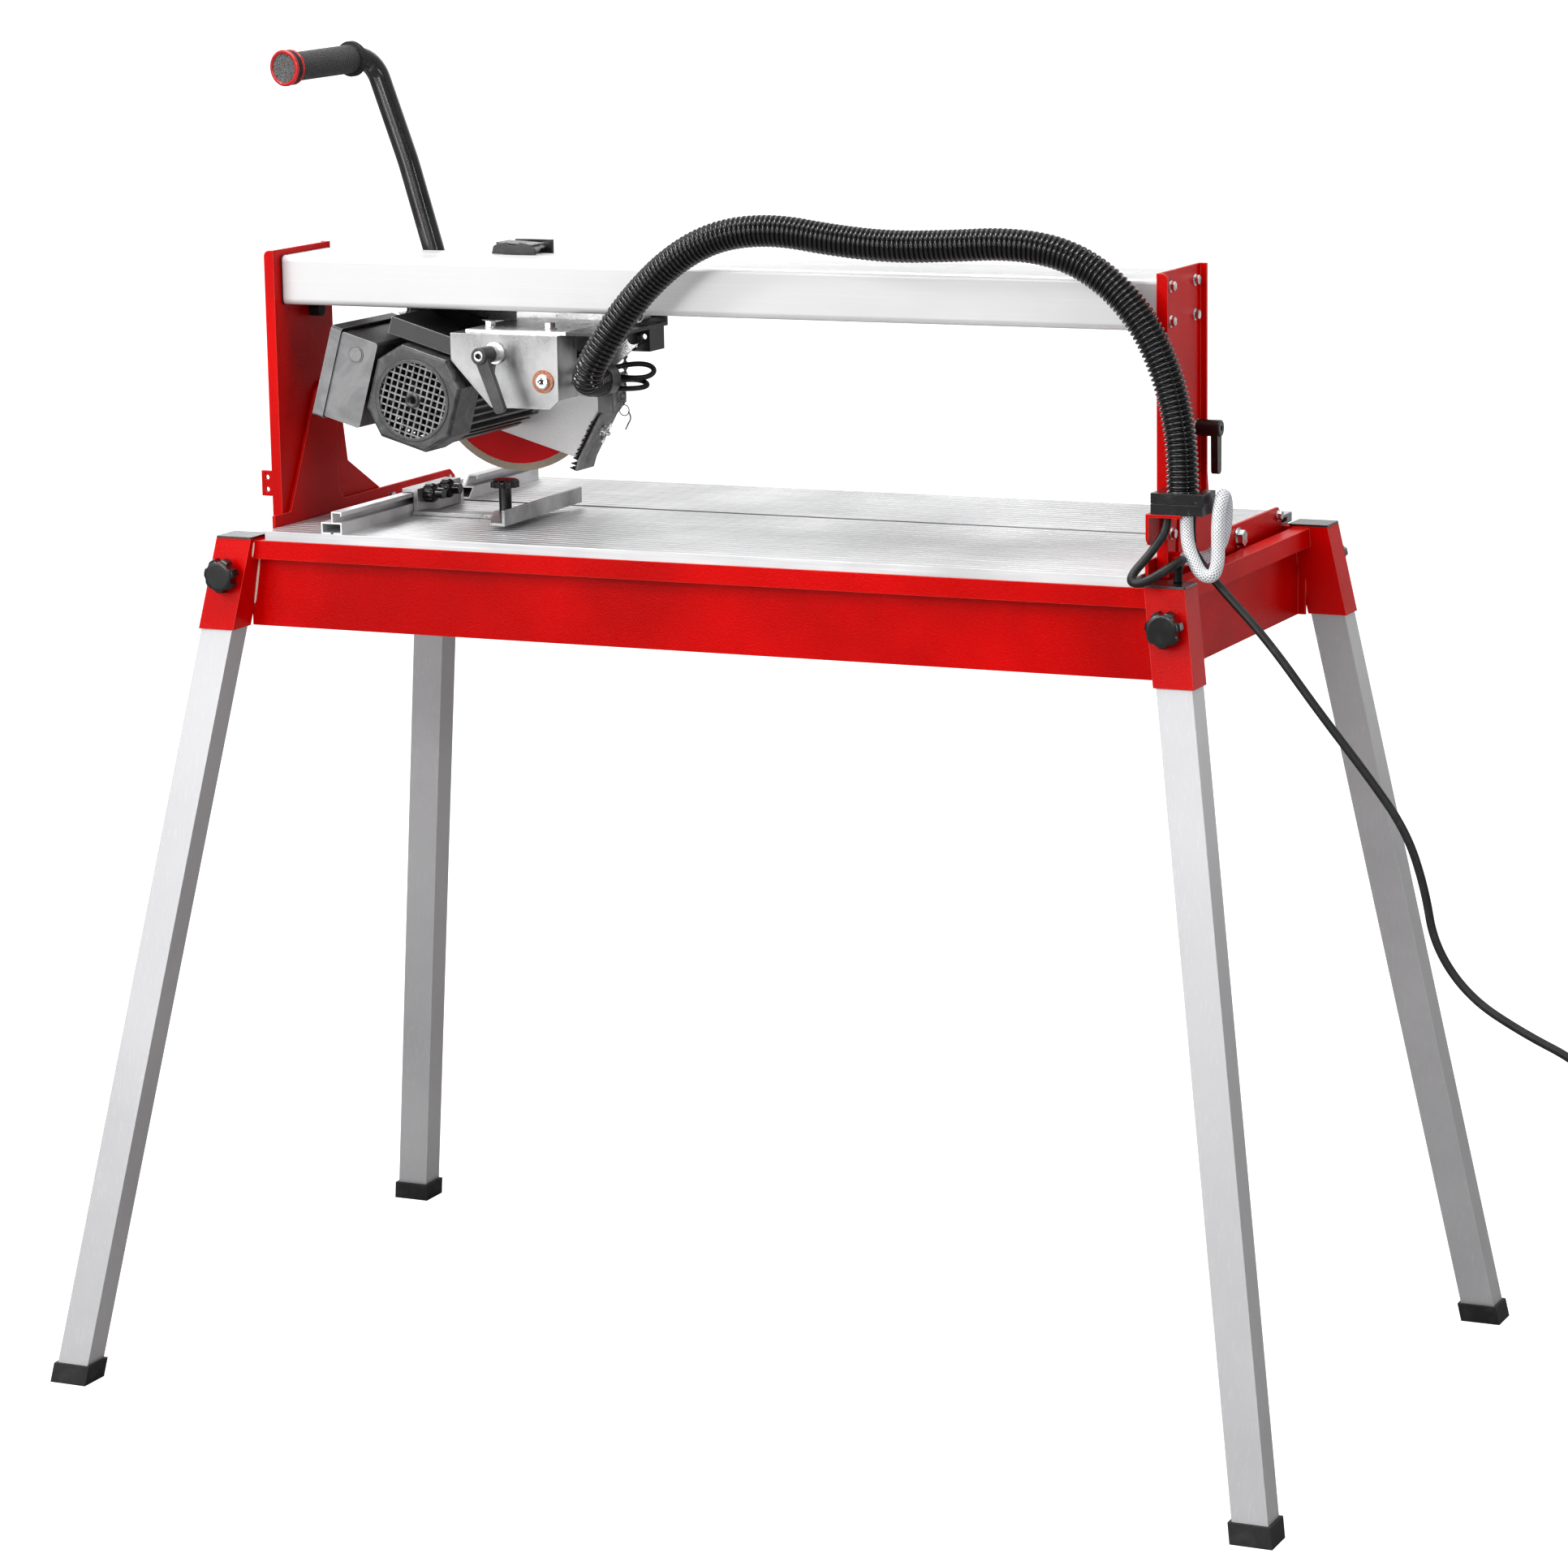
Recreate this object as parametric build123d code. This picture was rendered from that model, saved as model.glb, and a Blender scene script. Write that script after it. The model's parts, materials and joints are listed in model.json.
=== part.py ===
from build123d import *
import os
from math import atan2, cos, degrees, hypot, pi, radians, sin, tan

# Bridge-type wet tile saw on splayed legs, in millimetres. X runs along the cut, +Y is away
# from the operator, +Z is up, and the floor between the feet is the origin.

# ---- Driving dimensions -------------------------------------------------------------------
TABLE_Z = 876.0                 # top of the table above the floor
TABLE_HALF = 471.0              # half length of the table panels
TABLE_FRONT, TABLE_REAR = -219.0, 235.0
TABLE_THICK = 10.0
BLADE_Y = 46.0                  # plane of the blade, middle of the slot
SLOT_HALF = 5.0

TUB_HALF_X, TUB_HALF_Y = 489.0, 205.0
TUB_TOP, TUB_BOTTOM = TABLE_Z - TABLE_THICK, 776.0
SHEET = 3.0
LIP_OUT, LIP_DROP = 15.0, 19.0
WALL_PAST = 8.0                 # the long walls run past the end walls, to the leg sockets

LEG_SLOPE_X, LEG_SLOPE_Y = 0.1645, 0.182
LEG_X0, LEG_Y0 = 645.7, 367.7   # leg axis where it meets the floor
LEG_X, LEG_Y, LEG_WALL = 36.0, 31.0, 2.0
SOCKET_X, SOCKET_Y, SOCKET_WALL = 40.4, 35.4, 2.0
BOOT_HEIGHT = 20.0
KNOB_Z = 832.0                  # height of the leg clamping knobs
DRAIN = (300.0, 120.0)

POST_WEB = 476.0                # inner face of each post's web
POST_FRONT, POST_REAR = -174.0, -58.0
POST_TOP, POST_FOOT = 1156.0, 869.0
PLATE_OUT = 475.2               # outer face of the fixed end plates
CLAMP_Y, CLAMP_Z = -75.0, 1000.0
STOP_BOLT = (-143.6, 907.0)
TILT_RANGE = 45.0

RAIL_FRONT, RAIL_REAR = -160.0, -62.0
RAIL_BOTTOM, RAIL_TOP = 1100.0, 1150.0
RAIL_HALF = 474.0

BLADE_X, BLADE_Z = -317.0, 1010.0   # blade centre with the head raised and the carriage left
BLADE_R, BORE_R = 100.0, 12.7
HEAD_TILT = 16.0                    # the raised head leans by this much
PLUNGE_RANGE = 18.0
PIVOT_X, PIVOT_Z = 132.7, 61.8      # plunge pivot, from the motor axis, along the head's own axes
STUD_X, STUD_Z = 74.6, 73.4         # stud of the plunge clamp, the same way
COVER_FRONT, COVER_REAR = -180.0, -136.0
COVER_HALF, COVER_LIFT = 49.0, 2.0
HOUSING_REAR = 24.0
GUARD_FRONT, GUARD_REAR = 29.0, 64.0

CONDUIT_R = 15.5
CORD_R = 4.0
CABLE_R = 4.2
HOSE_R = 6.5

os.makedirs("parts", exist_ok=True)


# ---- Helpers ------------------------------------------------------------------------------
def block(x0, x1, y0, y1, z0, z1):
    """An upright box between two corners."""
    return Pos((x0 + x1) / 2, (y0 + y1) / 2, (z0 + z1) / 2) * Box(x1 - x0, y1 - y0, z1 - z0)


def rod(start, end, radius):
    """A round bar between two points."""
    line = Vector(*end) - Vector(*start)
    return Plane(origin=start, z_dir=line) * Cylinder(
        radius, line.length, align=(Align.CENTER, Align.CENTER, Align.MIN))


def side_plane(x):
    """Sketch plane across the machine: local x is +Y, local y is +Z."""
    return Plane(origin=(x, 0, 0), x_dir=(0, 1, 0), z_dir=(1, 0, 0))


def front_plane(y):
    """Sketch plane along the machine seen from the front, extruding away from the operator."""
    return Plane(origin=(0, y, 0), x_dir=(1, 0, 0), z_dir=(0, -1, 0))


def outline(points, corner=0.0):
    """A closed polygon face whose corners are all rounded alike."""
    face = make_face(Polyline(*points, close=True))
    return fillet(face.vertices(), corner) if corner else face


def side_plate(points, x0, x1, corner=0.0):
    """A plate across the machine from its (y, z) outline."""
    return extrude(side_plane(x0) * outline(points, corner), x1 - x0)


def front_plate(points, y0, y1, corner=0.0):
    """A plate along the machine from its (x, z) outline."""
    return extrude(front_plane(y1) * outline(points, corner), y1 - y0)


def arc_slot(radius, angle0, angle1, half_width):
    """A slot face along an arc about the sketch origin, with round ends; angles in degrees."""
    far = 2 * radius
    middle = (angle0 + angle1) / 2
    wedge = [(0, 0)] + [(far * cos(radians(a)), far * sin(radians(a))) for a in (angle0, middle, angle1)]
    slot = (Circle(radius + half_width) - Circle(radius - half_width)) & outline(wedge)
    for angle in (angle0, angle1):
        slot += Pos(radius * cos(radians(angle)), radius * sin(radians(angle))) * Circle(half_width)
    return slot


def whole(*shapes):
    """Separate solids kept together as one group."""
    solids = [solid for shape in shapes for solid in shape.solids()]
    return Compound(children=solids) if len(solids) > 1 else solids[0]


def save(name, shape):
    export_step(shape, f"parts/{name}.step")


def mirrored_x(shape):
    return mirror(shape, about=Plane.YZ)


def mirrored_y(shape):
    return mirror(shape, about=Plane.XZ)


def corner_radii(points):
    """0.45 of the shorter run over the tangent of half the turn, for every inner point."""
    radii = []
    for before, here, after in zip(points, points[1:], points[2:]):
        run_in = Vector(*here) - Vector(*before)
        run_out = Vector(*after) - Vector(*here)
        turn = radians(run_in.get_angle(run_out))
        radii.append(0.45 * min(run_in.length, run_out.length) / tan(turn / 2))
    return radii


def cord(name, points, radius):
    """A tube of straight runs joined by tangent arcs; it prints its bends and its volume."""
    radii = corner_radii(points)
    path = FilletPolyline(*points, radius=radii)
    start = Plane(origin=path @ 0, z_dir=path % 0)
    tube = sweep(start * Circle(radius), path=path)
    share = tube.volume / (pi * radius**2 * path.length)
    print(f"{name}: length {path.length:.0f}, volume/section {share:.4f}, radii",
          " ".join(f"{r:.0f}" for r in radii))
    return tube


def hex_bolt(x, y, z, length, across=8.0, head=4.0, washer=1.2):
    """Hexagon head and washer on a shank along +X; (x, y, z) is the washer's seat."""
    seat = Plane(origin=(x, y, z), z_dir=(1, 0, 0))
    start = Align.CENTER, Align.CENTER, Align.MIN
    body = seat * Cylinder(across * 0.72, washer, align=start)
    body += extrude(seat * Pos(0, 0, washer) * RegularPolygon(across / 2, 6, major_radius=False), head)
    return body + seat * Pos(0, 0, -length) * Cylinder(across * 0.3, length, align=start)


def clamp_lever(hub_height, hub_r, arm_length, arm_w):
    """Clamp lever: hub along +Z from its seat, with the arm hanging along -Y from the top."""
    start = Align.CENTER, Align.CENTER, Align.MIN
    hub = Cylinder(hub_r, hub_height, align=start)
    hub = fillet(hub.edges().sort_by(Axis.Z)[-1:], 1.2)
    arm = Polyline((-arm_w / 2, 0), (-arm_w * 0.42, -arm_length), (arm_w * 0.42, -arm_length),
                   (arm_w / 2, 0), close=True)
    face = make_face(arm)
    far = face.vertices().sort_by(Axis.Y)[:2]
    lever = extrude(Pos(0, 0, hub_height - 9.0) * fillet(far, arm_w * 0.35), 7.0)
    return hub + lever - Pos(0, 0, hub_height - 3) * Cylinder(2.6, 3.1, align=start)


def lobed_knob(radius, thickness, lobes):
    """Star knob: a disc with round scallops between its lobes, domed on top, along +Z."""
    start = Align.CENTER, Align.CENTER, Align.MIN
    body = Cylinder(radius, thickness, align=start)
    body = fillet(body.edges().sort_by(Axis.Z)[-1:], thickness * 0.45)
    scallop = radius * 2 * pi / lobes * 0.3
    for place in PolarLocations(radius + scallop * 0.3, lobes):
        body -= place * Cylinder(scallop, thickness * 2.1)
    return body


def leg_point(z):
    """Axis of the front right leg at a height, as offsets from the middle of the machine."""
    return LEG_X0 - LEG_SLOPE_X * z, LEG_Y0 - LEG_SLOPE_Y * z


def splayed(face, z0, z1):
    """A bar that follows the rear right leg's slope, cut level at both ends."""
    x, y = leg_point(z0)
    rise = z1 - z0
    direction = Vector(-LEG_SLOPE_X * rise, -LEG_SLOPE_Y * rise, rise)
    return Solid.extrude(Pos(x, y, z0) * face, direction)


def four_corners(shape):
    """The rear right piece and its mirror images, counted FL, FR, RL, RR."""
    front_right = mirrored_y(shape)
    return [mirrored_x(front_right), front_right, mirrored_x(shape), shape]


# ---- Tub frame ----------------------------------------------------------------------------
def make_socket():
    outer = Rectangle(SOCKET_X, SOCKET_Y)
    return splayed((outer - Rectangle(SOCKET_X - 2 * SOCKET_WALL, SOCKET_Y - 2 * SOCKET_WALL)).face(),
                   TUB_BOTTOM, TUB_TOP + 2)


def make_tub():
    """Welded sheet tub: floor, four walls, outward lips that drop, and four leg sockets."""
    hx, hy = TUB_HALF_X, TUB_HALF_Y
    tub = block(-hx, hx, -hy, hy, TUB_BOTTOM, TUB_TOP)
    tub -= block(-hx + SHEET, hx - SHEET, -hy + SHEET, hy - SHEET, TUB_BOTTOM + SHEET, TUB_TOP + 1)
    lip = block(-hx - LIP_OUT, hx + LIP_OUT, -hy - LIP_OUT, hy + LIP_OUT, TUB_TOP - LIP_DROP, TUB_TOP)
    lip -= block(-hx - LIP_OUT + SHEET, hx + LIP_OUT - SHEET, -hy - LIP_OUT + SHEET, hy + LIP_OUT - SHEET,
                 TUB_TOP - LIP_DROP - 1, TUB_TOP - SHEET)
    lip -= block(-hx, hx, -hy, hy, TUB_TOP - SHEET - 1, TUB_TOP + 1)
    tub += lip
    for y in (-hy, hy - SHEET):
        tub += block(-hx - WALL_PAST, hx + WALL_PAST, y, y + SHEET, TUB_BOTTOM, TUB_TOP)
    core = splayed(Rectangle(SOCKET_X - 2 * SOCKET_WALL, SOCKET_Y - 2 * SOCKET_WALL).face(),
                   TUB_BOTTOM - 1, TUB_TOP + 3)
    for hole in four_corners(core):
        tub -= hole
    for socket in four_corners(make_socket()):
        tub += socket
    for y in (-hy - 30, hy + 30):
        for x in (-1, 1):
            sx, sy = leg_point(KNOB_Z)
            tub -= rod((x * sx, y * 0.9, KNOB_Z), (x * sx, y * 1.3, KNOB_Z), 4.2)
    tub -= Pos(*DRAIN, TUB_BOTTOM) * Cylinder(10.05, 20)
    return tub


def make_end_plate():
    """Fixed right-hand end plate: a strip beside the table and a tall tab for the tilt clamp."""
    top = TABLE_Z + 12
    strip = side_plate([(-196, 800), (190, 800), (190, 880), (180, top), (-52, top), (-62, top + 10),
                        (-62, 1014), (-92, 1014), (-104, 1006), (-163, top), (-196, top)],
                       PLATE_OUT - SHEET, PLATE_OUT)
    flange = block(PLATE_OUT - SHEET, TUB_HALF_X - SHEET, -196, 190, 800, 803)
    plate = strip + flange
    plate -= rod((PLATE_OUT - 5, BLADE_Y, TABLE_Z), (PLATE_OUT + 1, BLADE_Y, TABLE_Z), 5.0)
    plate -= rod((PLATE_OUT - 5, CLAMP_Y, CLAMP_Z), (PLATE_OUT + 1, CLAMP_Y, CLAMP_Z), 4.0)
    plate -= rod((PLATE_OUT - 5, 178, 880), (PLATE_OUT + 1, 178, 880), 3.0)
    return plate


def make_table(y0, y1, slot_at_rear):
    """Aluminium table panel: ribbed top, closed cells below; undercut where it faces the slot."""
    z1, z0 = TABLE_Z, TABLE_Z - TABLE_THICK
    panel = block(-TABLE_HALF, TABLE_HALF, y0, y1, z0, z1)
    groove_count = int((y1 - y0 - 20) // 12)
    step = (y1 - y0 - 20) / groove_count
    for i in range(groove_count + 1):
        start = y0 + 10 + step * i
        panel -= block(-TABLE_HALF - 1, TABLE_HALF + 1, start, start + 2.4, z1 - 1.2, z1 + 1)
    cell_count = 4
    cell = (y1 - y0 - 26) / cell_count
    for i in range(cell_count):
        start = y0 + 13 + cell * i
        panel -= block(-TABLE_HALF - 1, TABLE_HALF + 1, start + 2, start + cell - 2, z0 + 2.2, z1 - 3.4)
    if slot_at_rear:
        panel -= side_plate([(y1 + 1, z1 - 1), (y1 + 1, z0 - 1), (y1 - 10, z0 - 1)],
                            -TABLE_HALF - 1, TABLE_HALF + 1)
    return panel


def make_fence_profile(x0, z0):
    """Two open channels stacked and stepped, as an (x, z) outline pair."""
    lower = make_face(Polyline((x0, z0), (x0 + 11, z0), (x0 + 11, z0 + 1.6), (x0 + 1.8, z0 + 1.6),
                               (x0 + 1.8, z0 + 10.4), (x0 + 22.2, z0 + 10.4), (x0 + 22.2, z0 + 1.6),
                               (x0 + 14, z0 + 1.6), (x0 + 14, z0), (x0 + 24, z0), (x0 + 24, z0 + 12),
                               (x0, z0 + 12), close=True))
    x1, z1 = x0 + 12, z0 + 12
    upper = make_face(Polyline((x1, z1), (x1 + 1.8, z1), (x1 + 1.8, z1 + 9.4), (x1 + 10.4, z1 + 9.4),
                               (x1 + 10.4, z1 + 6.6), (x1 + 12, z1 + 6.6), (x1 + 12, z1 + 11),
                               (x1, z1 + 11), close=True))
    return lower + upper


def make_fence(y0, y1, mitre_front):
    """Fence extrusion across the table, with its slot end cut at 45 degrees."""
    x0, z0 = -405.0, TABLE_Z
    fence = extrude(front_plane(y1) * make_fence_profile(x0, z0), y1 - y0)
    if mitre_front:
        fence -= side_plate([(y0 - 1, z0 - 1), (y0 - 1, z0 + 30), (y0 + 29, z0 + 30)], x0 - 1, x0 + 30)
    return fence


# ---- Leg knobs, tilt clamps, mitre guide and pump ---------------------------------------
def make_leg_knob():
    """Star knob on a stud that clamps the rear right leg in its socket."""
    sx, sy = leg_point(KNOB_Z)
    seat = sy + SOCKET_Y / 2
    knob = Plane(origin=(sx, seat + 6, KNOB_Z), z_dir=(0, 1, 0)) * lobed_knob(18, 13, 7)
    stud = rod((sx, seat - SOCKET_WALL - LEG_WALL - 4, KNOB_Z), (sx, seat + 7, KNOB_Z), 4.0)
    return knob + stud


def make_tilt_hardware():
    """Shouldered pivot bolts at the tilt axis and the fixed studs of the tilt clamps."""
    x0, x1 = PLATE_OUT - SHEET, POST_WEB + SHEET
    bolt = rod((x0 - 4, BLADE_Y, TABLE_Z), (x1 + 0.3, BLADE_Y, TABLE_Z), 5.0)
    bolt += rod((PLATE_OUT, BLADE_Y, TABLE_Z), (x1 + 0.3, BLADE_Y, TABLE_Z), 6.0)
    bolt += Plane(origin=(x1 + 0.3, BLADE_Y, TABLE_Z), z_dir=(1, 0, 0)) * Cylinder(
        10, 1.6, align=(Align.CENTER, Align.CENTER, Align.MIN))
    bolt += extrude(Plane(origin=(x1 + 1.9, BLADE_Y, TABLE_Z), z_dir=(1, 0, 0))
                    * RegularPolygon(7, 6, major_radius=False), 6)
    stud = rod((x0 - 5, CLAMP_Y, CLAMP_Z), (x1 + 14, CLAMP_Y, CLAMP_Z), 4.0)
    stud += rod((x0 - 5, CLAMP_Y, CLAMP_Z), (x0, CLAMP_Y, CLAMP_Z), 7.0)
    stud += rod((x1 + 0.3, CLAMP_Y, CLAMP_Z), (x1 + 2.3, CLAMP_Y, CLAMP_Z), 8.5)
    rear = hex_bolt(PLATE_OUT, 178, 880, PLATE_OUT - TABLE_HALF - 0.2)
    right = (bolt, stud, rear)
    return whole(*right, *[mirrored_x(piece) for piece in right])


def make_tilt_levers():
    """Clamp levers outside the posts, hanging down from their studs."""
    seat = POST_WEB + SHEET + 2.4
    lever = clamp_lever(24, 8, 44, 12) - Cylinder(4.05, 26)
    right = Plane(origin=(seat, CLAMP_Y, CLAMP_Z), x_dir=(0, 1, 0), z_dir=(1, 0, 0)) * lever
    return right, mirrored_x(right)


GUIDE_X, GUIDE_Y = -276.0, -64.0     # pivot of the mitre arm


def mitre_guide():
    """Slider on the fence, its two knobs, and the swinging arm with its thumb screw."""
    start = Align.CENTER, Align.CENTER, Align.MIN
    face_x = -380.4
    slider = block(face_x, face_x + 5, -70, 24, TABLE_Z + 0.6, TABLE_Z + 27)
    slider += block(face_x - 13, face_x + 5, -70, 24, TABLE_Z + 23.6, TABLE_Z + 27)
    bar = extrude(Pos(0, 0, TABLE_Z + 0.6) * (
        Pos((face_x + GUIDE_X) / 2 + 1, GUIDE_Y) * Rectangle(GUIDE_X - face_x - 2, 22)
        + Pos(GUIDE_X, GUIDE_Y) * Circle(11)), 4)
    slider += bar
    slider += Pos(GUIDE_X, GUIDE_Y, TABLE_Z + 4.6) * Cylinder(4, 22, align=start)
    knob_places = (-50.0, -14.0)
    for y in knob_places:
        slider -= rod((face_x - 1, y, 897), (face_x + 6, y, 897), 3.05)
    save("guide_slider", slider)
    for name, y in zip(("front", "rear"), knob_places):
        knob = Plane(origin=(face_x + 5.3, y, 897), z_dir=(1, 0, 0)) * (
            lobed_knob(10, 12, 12) + Cylinder(5.5, 20, align=start))
        knob += rod((face_x + 0.2, y, 897), (face_x + 5.4, y, 897), 3.0)
        save(f"guide_knob_{name}", knob)

    z0, z1 = TABLE_Z + 5, TABLE_Z + 21
    near, far = (-237.0, -146.0), (-243.0, 38.0)
    arm = extrude(Pos(0, 0, z0) * make_face(Polyline(
        near, (near[0] + 3, near[1]), (far[0] + 3, far[1]), far, close=True)), z1 - z0)
    lug = make_face(Polyline((near[0] + 1, near[1]), (far[0] + 1, 20), (GUIDE_X - 10, GUIDE_Y + 12),
                             (GUIDE_X - 11, GUIDE_Y - 6), (near[0] - 14, near[1]), close=True))
    arm += extrude(Pos(0, 0, z0) * lug, 3)
    arm -= Pos(GUIDE_X, GUIDE_Y, z0 - 1) * Cylinder(4.05, 6, align=start)
    save("mitre_arm", arm)
    cap = Pos(GUIDE_X, GUIDE_Y, z1 + 12) * lobed_knob(15, 8, 12)
    post = Pos(GUIDE_X, GUIDE_Y, z0 + 3.3) * Cylinder(6.5, z1 + 12.2 - z0 - 3.3, align=start)
    post -= Pos(GUIDE_X, GUIDE_Y, z0) * Cylinder(4.05, 17.9 + 4, align=start)
    save("thumb_screw", post + cap)


def make_pump():
    """Submersible pump in the tub's right rear corner, with its outlet stub."""
    start = Align.CENTER, Align.CENTER, Align.MIN
    floor_z = TUB_BOTTOM + SHEET
    pump = block(360, 430, 90, 150, floor_z + 6, floor_z + 56)
    pump += block(354, 436, 84, 156, floor_z, floor_z + 6)
    pump += Pos(395, 120, floor_z + 56) * Cylinder(8, 14, align=start)
    return pump - Pos(395, 120, floor_z + 50) * Cylinder(5, 30, align=start)


def make_drain_plug():
    """Push-in plug of the tub's drain."""
    x, y = DRAIN
    plug = rod((x, y, TUB_BOTTOM - 6), (x, y, TUB_BOTTOM), 14)
    return plug + rod((x, y, TUB_BOTTOM), (x, y, TUB_BOTTOM + 10), 10)


# ---- Posts, rail and what is bolted to them -----------------------------------------------
def tilt_slot(x0, x1):
    """Arc slot about the tilt pivot that lets the post swing past the fixed clamp stud."""
    reach = hypot(CLAMP_Y - BLADE_Y, CLAMP_Z - TABLE_Z)
    first = degrees(atan2(CLAMP_Z - TABLE_Z, CLAMP_Y - BLADE_Y)) - 0.5
    slot = arc_slot(reach, first, first + TILT_RANGE + 2.5, 4.6)
    return extrude(side_plane(x0) * Pos(BLADE_Y, TABLE_Z) * slot, x1 - x0)


def make_post():
    """Right-hand post: folded channel with a short front flange and a flared hinge foot."""
    web = side_plate([(POST_FRONT, POST_FOOT), (-60, POST_FOOT), (20, 864), (57, 864), (57, 884),
                      (33, 886), (-36, 925), (-50, 1000), (POST_REAR, 1060), (POST_REAR, POST_TOP),
                      (POST_FRONT, POST_TOP)], POST_WEB, POST_WEB + SHEET)
    front = block(POST_WEB, POST_WEB + 11, POST_FRONT, POST_FRONT + SHEET, POST_FOOT, POST_TOP)
    front = fillet(front.edges().filter_by(Axis.Y).group_by(Axis.Z)[-1].sort_by(Axis.X)[-1:], 6)
    rear = block(POST_WEB, POST_WEB + 9, POST_REAR - SHEET, POST_REAR, POST_FOOT + 60, POST_TOP)
    post = web + front + rear
    post -= tilt_slot(POST_WEB - 1, POST_WEB + SHEET + 1)
    post -= rod((POST_WEB - 1, BLADE_Y, TABLE_Z), (POST_WEB + SHEET + 1, BLADE_Y, TABLE_Z), 6.05)
    for y, z in rail_bolt_places() + [STOP_BOLT]:
        post -= rod((POST_WEB - 1, y, z), (POST_WEB + SHEET + 1, y, z), 3.2)
    return post


def rail_bolt_places():
    return [(y, z) for z in (RAIL_TOP - 8.5, RAIL_BOTTOM + 8.5) for y in (RAIL_FRONT + 15, RAIL_REAR - 16)]


def make_hose_bracket():
    """Folded bracket on the right post's front flange that carries the conduit clamp."""
    x0 = POST_WEB + 3.5
    upright = side_plate([(-214, 911), (-208, 905), (POST_FRONT, 905), (POST_FRONT, CLAMP_BOTTOM),
                          (-214, CLAMP_BOTTOM)], x0, x0 + SHEET)
    shelf = block(x0, x0 + 35, -214, POST_FRONT, CLAMP_BOTTOM - SHEET, CLAMP_BOTTOM)
    shelf -= Pos(PUMP_ROUTE[0][0], PUMP_ROUTE[0][1], CLAMP_BOTTOM) * Cylinder(6.5, 20)
    foot = block(x0, POST_WEB + 11, POST_FRONT - SHEET, POST_FRONT, 905, CLAMP_BOTTOM)
    x, y, z = HOSE_ROUTE[-1]
    seat = POST_WEB + SHEET
    nipple = rod((seat, y, z), (x, y, z), HOSE_R) - rod((seat + 4, y, z), (x + 1, y, z), 3.5)
    return upright + shelf + foot + nipple


def make_mount_tab():
    """Small two-hole tab on the left post's front flange."""
    tab = block(-499, -486, POST_FRONT, POST_FRONT + SHEET, 905, 931)
    for z in (911.8, 924.2):
        tab -= rod((-492.5, POST_FRONT - 1, z), (-492.5, POST_FRONT + SHEET + 1, z), 2.5)
    return tab


def make_rail():
    """Aluminium box extrusion with two inner ribs, screw ports and grooves along its top."""
    depth, height = RAIL_REAR - RAIL_FRONT, RAIL_TOP - RAIL_BOTTOM
    outer = RectangleRounded(depth, height, 6)
    face = outer - RectangleRounded(depth - 5, height - 5, 3.6)
    for u in (-17, 17):
        face += Pos(u, 0) * Rectangle(2.2, height - 2)
    for u in (-38.0, -2.0, 10.0):
        face -= Pos(u, height / 2) * Rectangle(3.0, 1.6)
    middle_y, middle_z = (RAIL_FRONT + RAIL_REAR) / 2, (RAIL_BOTTOM + RAIL_TOP) / 2
    for y, z in rail_bolt_places():
        port = Pos(y - middle_y, z - middle_z)
        face += port * Circle(6.4)
        face -= port * Circle(2.45)
    face &= outer
    return extrude(side_plane(-RAIL_HALF) * Pos(middle_y, middle_z) * face, 2 * RAIL_HALF)


# ---- Carriage -----------------------------------------------------------------------------
CARRIAGE_LEFT, CARRIAGE_RIGHT = -405.0, -95.0
PLATE_Y0, PLATE_Y1 = -50.0, -46.0
SHELF_Z0, SHELF_Z1 = 1078.5, 1082.0
UPPER_ROLLER_X = (-255.0, -231.0)
LOWER_ROLLER_X = (-376.0, -110.0)
UPPER_ROLLER_R, LOWER_ROLLER_R = 5.5, 8.0
UPPER_ROLLER_Z = RAIL_TOP + UPPER_ROLLER_R
LOWER_ROLLER_Z = RAIL_BOTTOM - LOWER_ROLLER_R
EAR_FOOT = 1146.0               # top of the plate, apart from the ear for the upper rollers
AXLE_SHARE = 0.5                # axle radius over roller radius
PLATE_LEFT, PLATE_NOTCH_Z = -394.0, (1100.0, 1130.0)   # the plate's left end, inside its nose
EAR_X, EAR_TOP = (-264.0, -222.0), 1162.0
SADDLES = ((-357, 1108), (-364, 1136))   # blocks behind the plate that the handle is welded to
ROLLER_Y = (-86.0, -68.0)


def roller_places():
    """Name, x, z and radius of each roller."""
    upper = zip(("upper_left", "upper_right"), UPPER_ROLLER_X)
    lower = zip(("lower_left", "lower_right"), LOWER_ROLLER_X)
    return ([(name, x, UPPER_ROLLER_Z, UPPER_ROLLER_R) for name, x in upper]
            + [(name, x, LOWER_ROLLER_Z, LOWER_ROLLER_R) for name, x in lower])


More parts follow.
